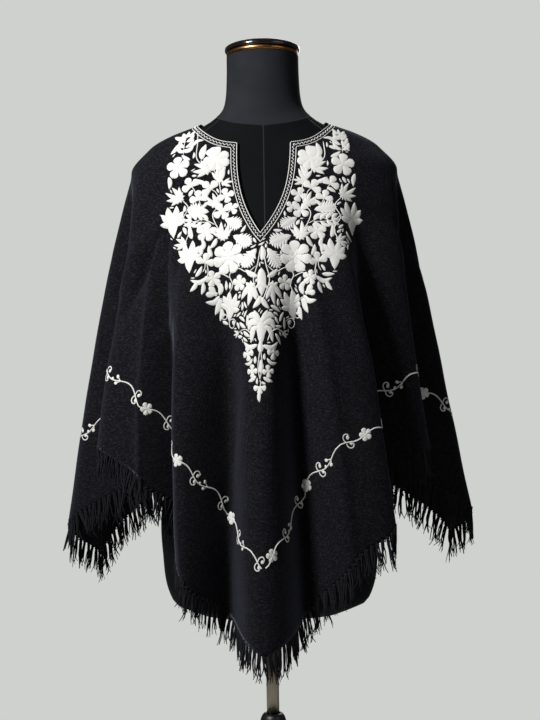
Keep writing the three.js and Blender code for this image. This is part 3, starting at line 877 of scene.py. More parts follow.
# %% Sew a motif
PETAL_RISE = 0.7 * MM
FULL_WIDTH = 7  # mm, a narrower stroke rises less
NECK_FRONT = -0.088  # the chest at the top of the slit, in metres
CHEST_SLOPE = 0.207  # how much it comes forward further down
used = []


def sew(bm, motif, middle, normal, head, mirror=1):
    """Sews a motif's strokes at a point of the cloth, its head along a direction."""
    head = (head - normal * head.dot(normal)).normalized()
    right = head.cross(normal) * mirror
    for outline, width, points in motif:
        path = rounded_path([middle + (right * p.x + head * p.y) * MM for p in points])
        length = sum((b - a).length for a, b in zip(path, path[1:]))
        line = spread_evenly(path, length / SEGMENTS.get(outline, SEGMENTS_ELSE), bent=False)
        rise = PETAL_RISE * clamp(width / FULL_WIDTH, 0.45, 1)
        lay_band(bm, cloth_face, line, width * MM, rise, OUTLINES[outline])
        last = len(line) - 1
        used.extend((spot, width * MM / 2 * OUTLINES[outline](k / last)) for k, spot in enumerate(line))


def seen_at(x, z):
    """The cloth along the line of sight through a point of the front, given in metres."""
    front = NECK_FRONT - (SLIT["top"] * MM - z) * CHEST_SLOPE
    sight = (Vector((x, front, z)) - CAMERA_AT).normalized()
    spot, normal, _, _ = cloth_face.ray_cast(CAMERA_AT, sight)
    if spot and spot.y > 0:
        return None, None  # seen through the slit, on the inside of the back
    return spot, normal


def turned_head(normal, angle):
    """The direction up the cloth, turned clockwise in its plane by an angle."""
    head = (UP - normal * UP.dot(normal)).normalized()
    return Matrix.Rotation(math.radians(-angle), 3, normal) @ head


# %% [markdown]
# The border of the neck. Two solid lines run round the neck and down both sides of the slit, about
# nine millimetres apart, with a small wave between them, and all three meet in mitred corners. A line
# at a distance from the edge is found by stepping in from it, dropping the steps that come too near
# another stretch of edge, and adding the mitre point where two stretches meet.

# %% The neck edge
EDGE_STEP = 2.5 * MM
NECK_SAMPLES = 280
SLIT_SAMPLES = 64
tip_down = down_at(0, SLIT["tip"])


def slit_edge(place):
    return [cloth_point(place, tip_down * k / SLIT_SAMPLES) for k in range(SLIT_SAMPLES, -1, -1)]


right_edge = spread_evenly(slit_edge(0), EDGE_STEP, bent=False)
left_edge = spread_evenly(slit_edge(LAST_PLACE)[::-1], EDGE_STEP, bent=False)
neck_points = [cloth_point(LAST_PLACE * k / NECK_SAMPLES, 0) for k in range(NECK_SAMPLES + 1)]
neck_edge = spread_evenly(neck_points, EDGE_STEP, bent=False)
stretches = [right_edge, neck_edge, left_edge]


def steps_in(stretch):
    """Each point of a stretch with the direction into the cloth, square to the edge."""
    found = []
    for i, point in enumerate(stretch):
        ahead = (stretch[min(i + 1, len(stretch) - 1)] - stretch[max(i - 1, 0)]).normalized()
        normal = cloth_face.find_nearest(point)[1]
        found.append((point, ahead, ahead.cross(normal).normalized()))
    return found


inward = [steps_in(stretch) for stretch in stretches]


def line_inside(distance):
    """The closed line at a distance inside the neck edge, with its corners mitred."""
    line = []
    for k, stretch in enumerate(inward):
        others = [p for j, other in enumerate(stretches) if j != k for p in other[1:-1]]
        for point, _, step in stretch:
            moved = point + step * distance
            if min((moved - other).length for other in others) >= distance:
                line.append(cloth_face.find_nearest(moved)[0])
        if k < 2:
            before, after = stretch[-1][2], inward[k + 1][0][2]
            corner = stretch[-1][0] + (before + after) * distance / (1 + before.dot(after))
            line.append(cloth_face.find_nearest(corner)[0])
    point, ahead, step = inward[0][0]
    lean = abs(ahead.x) / math.hypot(ahead.y, ahead.z)
    foot = point + step * distance - ahead * (distance / lean)
    foot = cloth_face.find_nearest(foot)[0]
    return [foot, *line, foot]


# %% The border's three lines
BORDER_LINES = (1.3 * MM, 10.2 * MM)
BORDER_LINE_WIDTH = 1.6 * MM
WAVE_AT = 5.8 * MM
WAVE_PERIOD = 6.0 * MM
WAVE_SWING = 1.3 * MM
WAVE_WIDTH = 1.35 * MM

stitch_bm = bmesh.new()
for distance in BORDER_LINES:
    line = spread_evenly(line_inside(distance), 3 * MM, bent=False)
    lay_band(stitch_bm, cloth_face, line, BORDER_LINE_WIDTH, 0.9 * MM, sunk=LINE_SUNK)


def wave_sway(run):
    return WAVE_SWING * math.sin(math.tau * run / WAVE_PERIOD)


wave_line = spread_evenly(line_inside(WAVE_AT), WAVE_PERIOD / 8, bent=False)
lay_band(stitch_bm, cloth_face, wave_line, WAVE_WIDTH, 0.8 * MM, sway=wave_sway, sunk=LINE_SUNK)
print("border", round(sum((b - a).length for a, b in zip(wave_line, wave_line[1:])), 2), "m round")

# %% [markdown]
# The yoke. Flowers, leaves and curls cover the chest so closely that only thin black gaps part them,
# and they taper to a point below the bust. The two halves mirror each other about a line that leans a
# little, as the worn cloth does. A row gives a motif, how far out from that line and how high its
# middle is, its size and the turn of its head outwards from up. A needlewoman's two halves are never
# quite alike, so each motif is also turned and moved by a random little.

# %% The yoke's motifs
YOKE_AXIS = [(940, -12), (1183, -5), (1337, -5)]
YOKE = [
    ("fan flower", 64, 1308, 41, 25),
    ("flower 5", 126, 1296, 38, 8),
    ("leaf", 141, 1271, 20, 190),
    ("feather", 96, 1333, 46, 4),
    ("leaf", 122, 1341, 24, 72),
    ("leaf", 130, 1325, 21, 158),
    ("leaf", 113, 1324, 18, 96),
    ("leaf", 87, 1319, 27, -8),
    ("leaf", 114, 1312, 18, 60),
    ("arch", 81, 1333, 20, -60),
    ("fingers 4", 85, 1292, 32, 78),
    ("fingers 3", 64, 1277, 29, 4),
    ("leaf", 46, 1285, 23, -16),
    ("fingers 3", 50, 1269, 21, -80),
    ("flower 4", 47, 1250, 24, 20),
    ("trefoil", 106, 1266, 26, 30),
    ("trefoil", 77, 1261, 27, 40),
    ("leaf", 92, 1273, 20, 66),
    ("trefoil", 95, 1244, 26, 10),
    ("leaf", 84, 1236, 15, -40),
    ("fingers 5", 127, 1249, 36, 66),
    ("lily", 135, 1211, 49, 6),
    ("fern", 98, 1228, 35, 78),
    ("feather", 97, 1211, 40, 84),
    ("flower 4", 60, 1225, 27, 40),
    ("trefoil", 39, 1230, 21, -50),
    ("fingers 4", 71, 1239, 30, 32),
    ("fern", 39, 1208, 31, -118),
    ("flower 5", 84, 1194, 30, 0),
    ("leaf", 106, 1194, 22, 16),
    ("fingers 5", 58, 1190, 36, 12),
    ("fern", 28, 1182, 36, -112),
    ("fingers 4", 119, 1177, 27, 80),
    ("arch", 93, 1174, 22, 170),
    ("leaf", 73, 1177, 19, 150),
    ("lily", 110, 1158, 46, 4),
    ("trefoil", 85, 1148, 27, -8),
    ("leaf", 90, 1168, 18, 0),
    ("leaf", 78, 1164, 18, 20),
    ("rose", 50, 1155, 49, 0),
    ("fern", 19, 1153, 36, 146),
    ("flower 5", 34, 1115, 24, 0),
    ("flower 5", 73, 1123, 24, 12),
    ("arch", 93, 1123, 25, 96),
    ("leaf", 102, 1111, 18, 150),
    ("leaf", 89, 1108, 18, 168),
    ("crescent", 68, 1100, 32, 60),
    ("lily", 44, 1081, 43, -12),
    ("curl", 56, 1090, 13, 20),
    ("curl", 55, 1072, 12, 100),
    ("leaf", 66, 1080, 24, 162),
    ("leaf", 59, 1068, 19, 168),
    ("fingers 3", 18, 1106, 38, 176),
    ("leaf", 7, 1086, 21, 150),
    ("leaf", 58, 1136, 18, 110),
    ("leaf", 16, 1130, 21, 60),
    ("curl", 37, 1056, 19, 20),
    ("fingers 3", 34, 1040, 16, 100),
    ("arch", 16, 1025, 26, 84),
    ("flower 4", 19, 1010, 22, 10),
    ("arch", 18, 999, 18, 110),
    ("flower 4", 12, 984, 19, 0),
    ("leaf", 12, 972, 16, 120),
]
MIDDLE = [
    ("leaf", 0, 1161, 25, 0),
    ("bud", 0, 1117, 44, 180),
    ("palmette", 0, 1050, 54, 0),
    ("drop", 0, 1021, 20, 180),
    ("leaf", 0, 991, 20, 0),
    ("trefoil", 0, 960, 20, 180),
    ("leaf", 0, 946, 16, 180),
]
STEMS = [
    [(74, 1295), (65, 1276), (62, 1254), (65, 1235), (74, 1222), (70, 1207), (60, 1191)],
    [(95, 1352), (96, 1333), (98, 1311), (90, 1300), (76, 1295)],
    [(121, 1218), (106, 1208), (89, 1214), (70, 1205)],
    [(122, 1246), (111, 1232), (119, 1214), (109, 1197), (115, 1179)],
    [(2, 1170), (6, 1145), (12, 1121), (7, 1102), (0, 1084)],
    [(8, 1142), (21, 1132), (36, 1138), (48, 1128), (43, 1113), (48, 1100)],
    [(48, 1124), (61, 1130), (70, 1124)],
    [(82, 1145), (80, 1133), (83, 1121), (90, 1117)],
    [(34, 1040), (24, 1046), (15, 1040), (10, 1028)],
    [(0, 1029), (1, 1012), (3, 991), (0, 971)],
]
chance = random.Random(7)


def point_tree(points):
    tree = KDTree(len(points))
    for i, point in enumerate(points):
        tree.insert(point, i)
    tree.balance()
    return tree


border_tree = point_tree([p for stretch in stretches for p in stretch])
BORDER_CLEAR = 12.6  # mm


def border_room(spot):
    """How far a point is from the border's inner line, in mm."""
    return border_tree.find(spot)[2] / MM - BORDER_CLEAR


def axis_at(z):
    return curve_through(YOKE_AXIS, z)


def sew_on_yoke(kind, out, height, size, turn, side):
    """Sews a motif, moved outwards if it would lie on the border."""
    need = size * 0.44 if out else -99
    for _ in range(4):
        spot, normal = seen_at((axis_at(height) + side * out) * MM, height * MM)
        if spot is None:
            print("no cloth for", kind, out, height)
            return
        short = need - border_room(spot)
        if short < 0.3:
            break
        out += short
    sew(stitch_bm, MOTIFS[kind](size), spot, normal, turned_head(normal, side * turn), side)


for side in (-1, 1):
    for kind, out, height, size, turn in YOKE:
        moved = (out + chance.uniform(-1, 1), height + chance.uniform(-1, 1))
        sew_on_yoke(kind, *moved, size * chance.uniform(1.02, 1.12), turn + chance.uniform(-6, 6), side)
    for stem in STEMS:
        spots = [seen_at((axis_at(z) + side * out) * MM, z * MM)[0] for out, z in stem]
        line = spread_evenly([spot for spot in spots if spot], 3 * MM)
        lay_band(stitch_bm, cloth_face, line, 2.0 * MM, 0.8 * MM, OUTLINES["stem"], sunk=LINE_SUNK)
        used.extend((spot, 1.1 * MM) for spot in line)
for row in MIDDLE:
    sew_on_yoke(*row, 1)
print(len(used), "stitched spots on the yoke")

# %% [markdown]
# Small leaves and seeds fill what is still bare between the motifs. A bare spot is found by trying
# places at random. The leaf there is as wide as its room and points the way that has the most.

# %% Fill the gaps of the yoke
YOKE_EDGE = [
    (940, 0), (968, 12), (994, 20), (1023, 25), (1038, 40), (1057, 56), (1084, 68),
    (1103, 92), (1121, 107), (1148, 126), (1180, 139), (1203, 147), (1234, 147), (1267, 141),
    (1299, 140), (1349, 125),
]
YOKE_HEIGHTS = (950, 1335)
NEAR_STITCHES = 14
FILL_REACH = 1.5
LONGEST_FILL, WIDEST_FILL = 20, 8
GAP = 0.7


def room_at(spot, sewn, fresh):
    """The distance in mm to the nearest stitch, with a thin black gap left, or to the border."""
    near = min(distance - used[i][1] for _, i, distance in sewn.find_n(spot, NEAR_STITCHES))
    newer = min(((spot - p).length - reach for p, reach in used[fresh:]), default=1)
    return min(min(near, newer) / MM - GAP, border_room(spot))


def fill_gaps(tries, least):
    sewn, fresh, filled = point_tree([p for p, _ in used]), len(used), 0
    for _ in range(tries):
        height = chance.uniform(*YOKE_HEIGHTS)
        x = axis_at(height) + chance.uniform(-1, 1) * (curve_through(YOKE_EDGE, height) - 3)
        spot, normal = seen_at(x * MM, height * MM)
        room = room_at(spot, sewn, fresh) if spot else 0
        if room < least:
            continue
        ways = []
        for angle in range(0, 180, 30):
            head = turned_head(normal, angle)
            step = head * room * FILL_REACH * MM
            ways.append((min(room_at(spot + step * side, sewn, fresh) for side in (-1, 1)), head))
        best, head = max(ways, key=lambda item: item[0])
        reach = min(room * FILL_REACH + max(best, 0), LONGEST_FILL / 2)
        bow = reach * chance.uniform(-0.15, 0.15)
        stroke = ("leaf", min(room * 2, WIDEST_FILL), ray(0, -reach, reach, bow))
        sew(stitch_bm, [stroke], spot, normal, head)
        filled += 1
    print(filled, "fillings wider than", 2 * least, "mm")


fill_gaps(1500, 2.0)
fill_gaps(2200, 1.25)

# %% [markdown]
# The vine. It follows the hem a hand's breadth in, round all four sides: a wavy stem with a flower, a
# pair of curls, a sprig of seeds and a second pair of curls in each 13 cm. A fold that crosses the
# square's edge at a slant has more cloth between the two, so a table gives the distance on such folds.

# %% The vine's path
VINE_ABOVE_HEM = 0.119
VINE_ON_FOLDS = {
    "front ridge": 0.131,
    "right valley": 0.176,
    "right ridge": 0.170,
    "right panel edge": 0.152,
    "right wing valley": 0.130,
    "right wing ridge": 0.165,
    "right corner": 0.150,
    "left wing ridge": 0.140,
    "left crease": 0.124,
    "left ridge": 0.180,
    "left valley": 0.152,
    "back ridge": 0.131,
    "back middle valley": 0.160,
    "back left groove": 0.160,
}
VINE_UNIT = 0.132
VINE_START = 0.021
VINE_SAMPLES = 336
STEP_UP = 0.004
vine_rises = [VINE_ON_FOLDS.get(name, VINE_ABOVE_HEM) for name in FOLDS]


def vine_point(place):
    """The point of a column that lies the vine's distance up from the hem, along the cloth."""
    left = along_sides(vine_rises, place)
    point = cloth_point(place, 1)
    for k in range(1, round(0.8 / STEP_UP)):
        above = cloth_point(place, 1 - STEP_UP * k)
        step = (above - point).length
        if step >= left:
            return cloth_face.find_nearest(point.lerp(above, left / step))[0]
        left -= step
        point = above


vine_points = [vine_point(FOLD_COUNT * k / VINE_SAMPLES) for k in range(VINE_SAMPLES)]
vine_points.append(vine_points[0])
vine = spread_evenly(vine_points, 2.5 * MM, bent=False)
vine_length = sum((b - a).length for a, b in zip(vine, vine[1:]))
units = round(vine_length / VINE_UNIT)
unit = vine_length / units
print("vine", round(vine_length, 2), "m,", units, "units of", round(unit * 1000), "mm")

# %% Sew the vine
VINE_SWAY = 5.0 * MM
VINE_STEM = 2.4 * MM
vine_bm = bmesh.new()


def stem_sway(run):
    """The stem swings twice in each unit, and crosses the middle at each flower."""
    return VINE_SWAY * math.sin(math.tau * (run - VINE_START) / (unit / 2))


lay_band(vine_bm, cloth_face, vine, VINE_STEM, 0.9 * MM, sway=stem_sway, sunk=LINE_SUNK)


def vine_frame(run):
    """The vine's middle, its normal and its directions along and towards the neck, at a distance."""
    i = round(run / vine_length * (len(vine) - 1)) % (len(vine) - 1)
    ahead = (vine[(i + 3) % (len(vine) - 1)] - vine[i - 3]).normalized()
    spot, normal, _, _ = cloth_face.find_nearest(vine[i])
    return spot, normal, ahead, normal.cross(ahead).normalized()


SCROLL = [(0, 0), (-0.8, 5), (1.2, 9.4), (5.4, 11), (9, 8.8), (8.8, 5.4), (6.6, 4.4)]
SCROLL_STEM, SCROLL_END = 2.8, 6.6
FORKED_SEEDS = [(24, 8.8, 6.4), (-50, 8.4, 6.2)]  # turn from straight back, stalk, seed in mm
SEED_STALK = 2.3
STEM_SEED = 5.6
VINE_FLOWER = 20.5


def on_stem(run):
    """The wavy stem's own point and its frame, at a distance along the vine."""
    spot, normal, ahead, inward_side = vine_frame(run)
    return cloth_face.find_nearest(spot + inward_side * stem_sway(run))[0], normal, ahead, inward_side


def sew_scrolls(run):
    """A curl on each side of the stem, both leaning the same way, with round ends."""
    root, normal, ahead, inward_side = on_stem(run)
    points = [Vector(p) for p in SCROLL]
    for side in (-1, 1):
        head = (inward_side * side - ahead * 0.1).normalized()
        sew(vine_bm, [("stem", SCROLL_STEM, points), ball(SCROLL_END, points[-1])], root, normal, head, side)


def sew_seeds(run):
    """Two seeds on stalks that fork back from the stem, and one on the stem itself."""
    root, normal, ahead, inward_side = on_stem(run)
    for turn, reach, size in FORKED_SEEDS:
        tilt = math.radians(turn)
        back = inward_side * math.sin(tilt) - ahead * math.cos(tilt)
        seed = [("stem", SEED_STALK, ray(0, 0, reach)), ball(size, Vector((0, reach)))]
        sew(vine_bm, seed, root, normal, back)
    root, normal, ahead, inward_side = on_stem(run - 15 * MM)
    sew(vine_bm, [ball(STEM_SEED, Vector((0, 1.6)))], root, normal, inward_side)


for k in range(units):
    start = (VINE_START + k * unit) % vine_length
    spot, normal, ahead, inward_side = vine_frame(start)
    head = (inward_side + ahead * chance.uniform(-0.6, 0.6)).normalized()
    sew(vine_bm, flower(VINE_FLOWER, 5, 1.05), spot, normal, head)
    sew_scrolls((start + unit * 0.27) % vine_length)
    sew_seeds((start + unit * 0.5) % vine_length)
    sew_scrolls((start + unit * 0.76) % vine_length)

# %% [markdown]
# The thread is mercerised cotton in satin stitch: off-white, with a soft silky shine along parallel
# threads. The real threads are half a millimetre apart and drawn here at 1.2 mm, so that they show.
# The grooves between them are painted darker, which is painted shade.

# %% Off-white cotton thread
THREAD_PITCH = 1.2 * MM
THREAD_CLOUD = 14 * MM
cotton, tree, shader = new_material(
    "off-white cotton thread", Roughness=0.62, Sheen_Weight=0.25, Sheen_Roughness=0.4, Specular_IOR_Level=0.35
)
along_stitches = add_node(tree, "UVMap", uv_map="UVMap").outputs["UV"]
threads = bands(tree, along_stitches, THREAD_PITCH, 0.8, detail=1.0, detail_scale=1.5)
ivory = shade(tree, lumps(tree, THREAD_CLOUD, 3.0), "#E2E1DC", "#F1F0EC")
# The grooves between the threads are painted darker: painted shade where the threads dip.
between = in_range(tree, threads, high=0.5, to_low=0.86)
ivory_with_groove_shade = add_node(tree, "Mix", {0: 1.0, 6: ivory, 7: between}, data_type="RGBA", blend_type="MULTIPLY")
finish = {"Base Color": ivory_with_groove_shade.outputs[2], "Normal": bumps(tree, threads, 0.45, 0.25 * MM)}
connect(tree, shader, finish)
yoke_piece = finished_piece("yoke_embroidery", stitch_bm, cotton)
vine_piece = finished_piece("vine_embroidery", vine_bm, cotton)

# %% [markdown]
# The fringe. Each lock is a bunch of black wool yarns looped through the hem and knotted, and it frays
# and tangles with its neighbours. Curves with a small bevel are the quickest way to make some hundreds
# of yarns: a point's radius thickens the knot and thins the end, and the curve is made a mesh at last.

# %% Fringe on the four sides
LOCK_PITCH = 9.5 * MM
YARNS = 6
YARN = 2.4 * MM
LOCK_LENGTH = 50 * MM
YARN_STEPS = 8
ROOT_SUNK = 3 * MM
KNOT_RADIUS = 2.2 * MM
LOCK_SPREAD = (1.2, 2.5)
HALF_WALL = 1.2 * MM
PLY = 1.6 * MM
SIDES = {
    "fringe_front_right": (0, PLACES["right corner"]),
    "fringe_back_right": (PLACES["right corner"], PLACES["back ridge"]),
    "fringe_back_left": (PLACES["back ridge"], PLACES["left corner"]),
    "fringe_front_left": (PLACES["left corner"], FOLD_COUNT),
}


def hem_points(first, last):
    count = (last - first) * 16
    return [cloth_point(mix(first, last, k / count), 1) for k in range(count + 1)]


def add_yarn(curve, points, radii):
    spline = curve.splines.new("POLY")
    spline.points.add(len(points) - 1)
    for spot, point, radius in zip(spline.points, points, radii):
        spot.co = (*point, 1)
        spot.radius = radius


def add_lock(curve, root, ahead, luck):
    """The yarns of one lock leave the hem square to it, hang down and fray. A wrap holds them."""
    out = ahead.cross(UP).normalized()
    away = ahead.cross(out)
    round_body = UP.cross(out)
    length = LOCK_LENGTH * luck.uniform(0.84, 1.06)
    carried = luck.uniform(0.25, 0.7)
    sway = round_body * luck.gauss(0, 0.09) + out * luck.gauss(0.03, 0.07)
    for yarn in range(YARNS):
        angle = math.tau * yarn / YARNS + luck.uniform(-0.4, 0.4)
        twist = luck.uniform(0.4, 2.2)
        reach = length * luck.uniform(0.76, 1.04)
        lean = sway + round_body * luck.gauss(0, 0.05)
        wave = luck.uniform(0.3, 1.2) * MM
        curled = round_body * luck.gauss(0, 0.09) * reach
        points, radii = [], []
        for step in range(YARN_STEPS + 1):
            t = step / YARN_STEPS
            spread = mix(*LOCK_SPREAD, t**0.7) * MM
            turn = angle + twist * t
            square = carried * reach * 0.8 * t * (1 - 0.5 * t)
            point = root + away * (square - ROOT_SUNK) - UP * (reach * t + square * away.z)
            point += lean * reach * t**1.4 + curled * t**5
            point += round_body * (math.cos(turn) * spread + wave * math.sin(6 * t + angle * 2))
            points.append(point + out * math.sin(turn) * spread * 0.6)
            radii.append(mix(1.0, 0.42, t**2) if step else 0.8)
        add_yarn(curve, points, radii)
    knot = root + away * 0.5 * MM
    ring = [math.tau * k / 6 for k in range(7)]
    wrap = [knot + (round_body * math.cos(a) + out * math.sin(a) * 0.7) * KNOT_RADIUS for a in ring]
    add_yarn(curve, wrap, [1.1] * len(wrap))


yarn_wool, tree, shader = new_material(
    "black wool yarn", Roughness=0.95, Sheen_Weight=0.1, Sheen_Roughness=0.5, Specular_IOR_Level=0.2
)
shader.inputs["Sheen Tint"].default_value = linear("#7C7F92")
ply = lumps(tree, PLY, 3.0)
finish = {"Base Color": shade(tree, ply, "#0B0B0E", "#1D1D22"), "Normal": bumps(tree, ply, 0.6, 0.4 * MM)}
connect(tree, shader, finish)

for name, (first, last) in SIDES.items():
    luck = random.Random(name)
    hem = hem_points(first, last)
    roots = spread_evenly(hem, LOCK_PITCH, bent=False)
    curve = bpy.data.curves.new(name, "CURVE")
    curve.dimensions = "3D"
    curve.bevel_depth = YARN / 2
    curve.bevel_resolution = 0
    curve.use_fill_caps = True
    for i, root in enumerate(roots[:-1]):
        ahead = (roots[i + 1] - roots[max(i - 1, 0)]).normalized()
        add_lock(curve, root - ahead.cross(UP).normalized() * HALF_WALL, ahead, luck)
    holder = bpy.data.objects.new(name + "_yarns", curve)
    bpy.context.scene.collection.objects.link(holder)
    bpy.context.view_layer.update()
    made = bpy.data.meshes.new_from_object(holder.evaluated_get(bpy.context.evaluated_depsgraph_get()))
    bpy.data.objects.remove(holder)
    finished_piece(name.replace("fringe", "yarns"), made, yarn_wool, [name])
    print(name, len(roots) - 1, "locks")

# %% [markdown]
# The dress form. Its cover is a black cotton jersey stretched over a padded shell: very smooth, with a
# faint sheen, and with flat seams where its panels meet. A grid wrapped on the form's sections gives
# the shell, and the seams are narrow bands laid on it. The body's jersey is painted much darker than
# the neck's, as painted shade for the chest that lies in shade inside the slit. So a second grid lies
# just outside the shell from the neck's seam upwards, in a copy of the jersey with a greyer tone.

# %% The form's shell
FORM_LOW, FORM_HIGH = FORM_SECTIONS[0][0], FORM_SECTIONS[-1][0]


def form_point(bearing, height):
    reach = form_reach(bearing, height) * MM
    turn = math.radians(bearing)
    return Vector((reach * math.sin(turn), -reach * math.cos(turn), height * MM))


def on_shell(share, rising):
    return form_point(share * 360, mix(FORM_LOW, FORM_HIGH, rising))


form_bm = placed_grid(112, 110, on_shell)
form_face = BVHTree.FromBMesh(form_bm)
rims = [edge for edge in form_bm.edges if edge.is_boundary]
bmesh.ops.holes_fill(form_bm, edges=rims, sides=0)
bmesh.ops.recalc_face_normals(form_bm, faces=form_bm.faces)

# %% The form's seams
SEAM_WIDTH = 2.6 * MM
SEAM_RISE = 0.5 * MM
SEAM_STEP = 5 * MM
NECK_SEAM = [(0, 1364), (37, 1370), (90, 1392), (120, 1400), (180, 1408)]
WAIST_SEAM = 965
UPRIGHT_SEAMS = [
    # bearings at the foot, the bust and the neck
    (0, 0, 0),
    (180, 180, 180),
    (90, 90, 90),
    (270, 270, 270),
    (34, 30, 62),
    (326, 330, 298),
    (146, 150, 118),
    (214, 210, 242),
]
seam_bm = bmesh.new()


def neck_seam(bearing):
    """The height of the seam where the neck panel is sewn to the body."""
    return curve_through(NECK_SEAM, abs((bearing + 180) % 360 - 180))


def lay_seam(points):
    line = spread_evenly(points, SEAM_STEP, bent=False)
    lay_band(seam_bm, form_face, line, SEAM_WIDTH, SEAM_RISE, sunk=SEAM_RISE / 2)


around = range(0, 361, 3)
lay_seam([form_point(b, neck_seam(b)) for b in around])
lay_seam([form_point(b, WAIST_SEAM) for b in around])
for low, middle, high in UPRIGHT_SEAMS:
    heights = [mix(FORM_LOW + 6, neck_seam(high), k / 90) for k in range(91)]
    lean = [(FORM_LOW, low), (1020, middle), (1340, high)]
    lay_seam([form_point(curve_through(lean, height), height) for height in heights])

# %% The neck's cover
NECK_COVER_OFF = 0.4 * MM


def on_neck(share, rising):
    bearing = share * 360
    spot = form_point(bearing, mix(neck_seam(bearing), FORM_HIGH, rising))
    return spot + Vector((spot.x, spot.y, 0)).normalized() * NECK_COVER_OFF


neck_bm = placed_grid(96, 24, on_neck)
print("neck cover from", NECK_SEAM[0][1], "to", FORM_HIGH, "mm high")

# %% Black cotton jersey
KNIT_PITCH = 1.6 * MM
TAPE_PITCH = 1.5 * MM
JERSEY_CLOUD = 30 * MM
jersey, tree, shader = new_material(
    "black cotton jersey", Roughness=0.8, Sheen_Weight=0.03, Sheen_Roughness=0.4, Specular_IOR_Level=0.08
)
shader.inputs["Sheen Tint"].default_value = linear("#A9AEB6")
on_form = add_node(tree, "TexCoord").outputs["Object"]
course = bands(tree, on_form, KNIT_PITCH, 1.5, direction="Z")
# The body's near-black tone is painted shade, for the chest seen in shade inside the slit.
charcoal = shade(tree, lumps(tree, JERSEY_CLOUD, 3.0, on_form), "#07080A", "#0C0E10")
connect(tree, shader, {"Base Color": charcoal, "Normal": bumps(tree, course, 0.18, 0.12 * MM)})
form_piece = finished_piece("form_cover", form_bm, jersey, ["dress_form"])

# The neck's copy keeps a greyer tone, without the body's painted shade.
charcoal_jersey = jersey.copy()
charcoal_jersey.name = "charcoal cotton jersey"
charcoal_mix = charcoal_jersey.node_tree.nodes[charcoal.node.name]
charcoal_mix.inputs[6].default_value = linear("#1E2023")
charcoal_mix.inputs[7].default_value = linear("#282B2F")
finished_piece("neck_cover", neck_bm, charcoal_jersey)

binding, tree, shader = new_material(
    "charcoal binding tape", Roughness=0.8, Sheen_Weight=0.08, Sheen_Roughness=0.5, Specular_IOR_Level=0.3
)
along_seam = add_node(tree, "UVMap", uv_map="UVMap").outputs["UV"]
stitches = bands(tree, along_seam, TAPE_PITCH, 0.6)
grey = shade(tree, stitches, "#131417", "#25272B")
connect(tree, shader, {"Base Color": grey, "Normal": bumps(tree, stitches, 0.4, 0.2 * MM)})
finished_piece("form_seams", seam_bm, binding)

# %% [markdown]
# Turned pieces. The cap, the socket, the tubes and the base are all round about the stand's axis, so
# each is a profile of radius and height, spun in a full circle. A rounded corner in the profile is
# what makes a turned edge catch the light.

# %% Spin the profiles
SPIN_STEPS = 96


def spun(name, profile):
    """A closed turned piece from its profile of (radius, height) in mm, from bottom to top."""
    bm = bmesh.new()
    verts = [bm.verts.new((radius * MM, 0, height * MM)) for radius, height in profile]
    edges = [bm.edges.new(pair) for pair in zip(verts, verts[1:])]
    turn = {"cent": (0, 0, 0), "axis": (0, 0, 1), "angle": math.tau, "steps": SPIN_STEPS}
    bmesh.ops.spin(bm, geom=verts + edges, use_merge=True, **turn)
    bmesh.ops.remove_doubles(bm, verts=bm.verts, dist=0.01 * MM)
    bmesh.ops.recalc_face_normals(bm, faces=bm.faces)
    return mesh_from(bm, name)


def corner(radius, height, size, top=True):
    """A quarter round at an outer corner of a profile."""
    points = []
    for k in range(6):
        turn = math.pi / 2 * k / 5
        across = size * (1 - math.cos(turn)) if top else size * (1 - math.sin(turn))
        rise = size * (1 - math.sin(turn)) if top else size * (1 - math.cos(turn))
        points.append((radius - across, height - rise if top else height + rise))
    return points


def plain_rod(radius, bottom, top):
    return [(0, bottom), (radius, bottom), (radius, top), (0, top)]


CAP = {"rim": 57.5, "brim": 60, "crown": 15, "foot": 1484.3, "rim_height": 7.5}
rim_top = CAP["foot"] + CAP["rim_height"]
LID_FOOT = rim_top + 0.3
LID_EDGE = 4.5
dome = []
for angle in range(84, -1, -6):
    turn = math.radians(angle)
    rise = LID_EDGE + (CAP["crown"] - LID_EDGE) * math.cos(turn)
    dome.append((CAP["brim"] * math.sin(turn), LID_FOOT + rise))
lid_profile = [(0, LID_FOOT), *corner(CAP["brim"], LID_FOOT, 2.2, top=False), *dome]
rim_profile = [
    (0, CAP["foot"]),
    (CAP["rim"] - 2.4, CAP["foot"]),
    (CAP["rim"] - 0.6, CAP["foot"] + 1.2),
    (CAP["rim"], CAP["foot"] + 3.2),
    (CAP["rim"], CAP["foot"] + 4.6),
    (CAP["rim"] - 0.5, rim_top - 1.2),
    (CAP["rim"] - 1.8, rim_top),
    (0, rim_top),
]
POLE = {"radius": 10, "top": 597.7, "bottom": 402}
SOCKET = {"radius": 21, "bottom": 385, "top": 436, "shoulder": 18}
TUBE = {"radius": 15, "bottom": 26, "top": 384.7}
BASE = {"radius": 172, "edge": 9, "hub": 30, "hub_height": 25.7}
bore = POLE["radius"] + 0.3
shoulder = []
for angle in range(0, 91, 9):
    turn = math.radians(angle)
    rise = SOCKET["shoulder"] * math.sin(turn)
    radius = mix(bore + 1.5, SOCKET["radius"], math.cos(turn))
    shoulder.append((radius, SOCKET["top"] - SOCKET["shoulder"] + rise))
socket_profile = [
    (0, SOCKET["bottom"]),
    (SOCKET["radius"] * 0.8, SOCKET["bottom"]),
    *corner(SOCKET["radius"], SOCKET["bottom"], 4, top=False),
    *shoulder,
    (bore, SOCKET["top"] - 1),
    (bore, POLE["bottom"] - 0.3),
    (0, POLE["bottom"] - 0.3),
]
hub_slope = []
for angle in range(0, 91, 15):
    turn = math.radians(angle)
    radius = mix(BASE["hub"] * 1.8, BASE["hub"], math.sin(turn))
    hub_slope.append((radius, BASE["edge"] + 4 + 6 * (1 - math.cos(turn))))
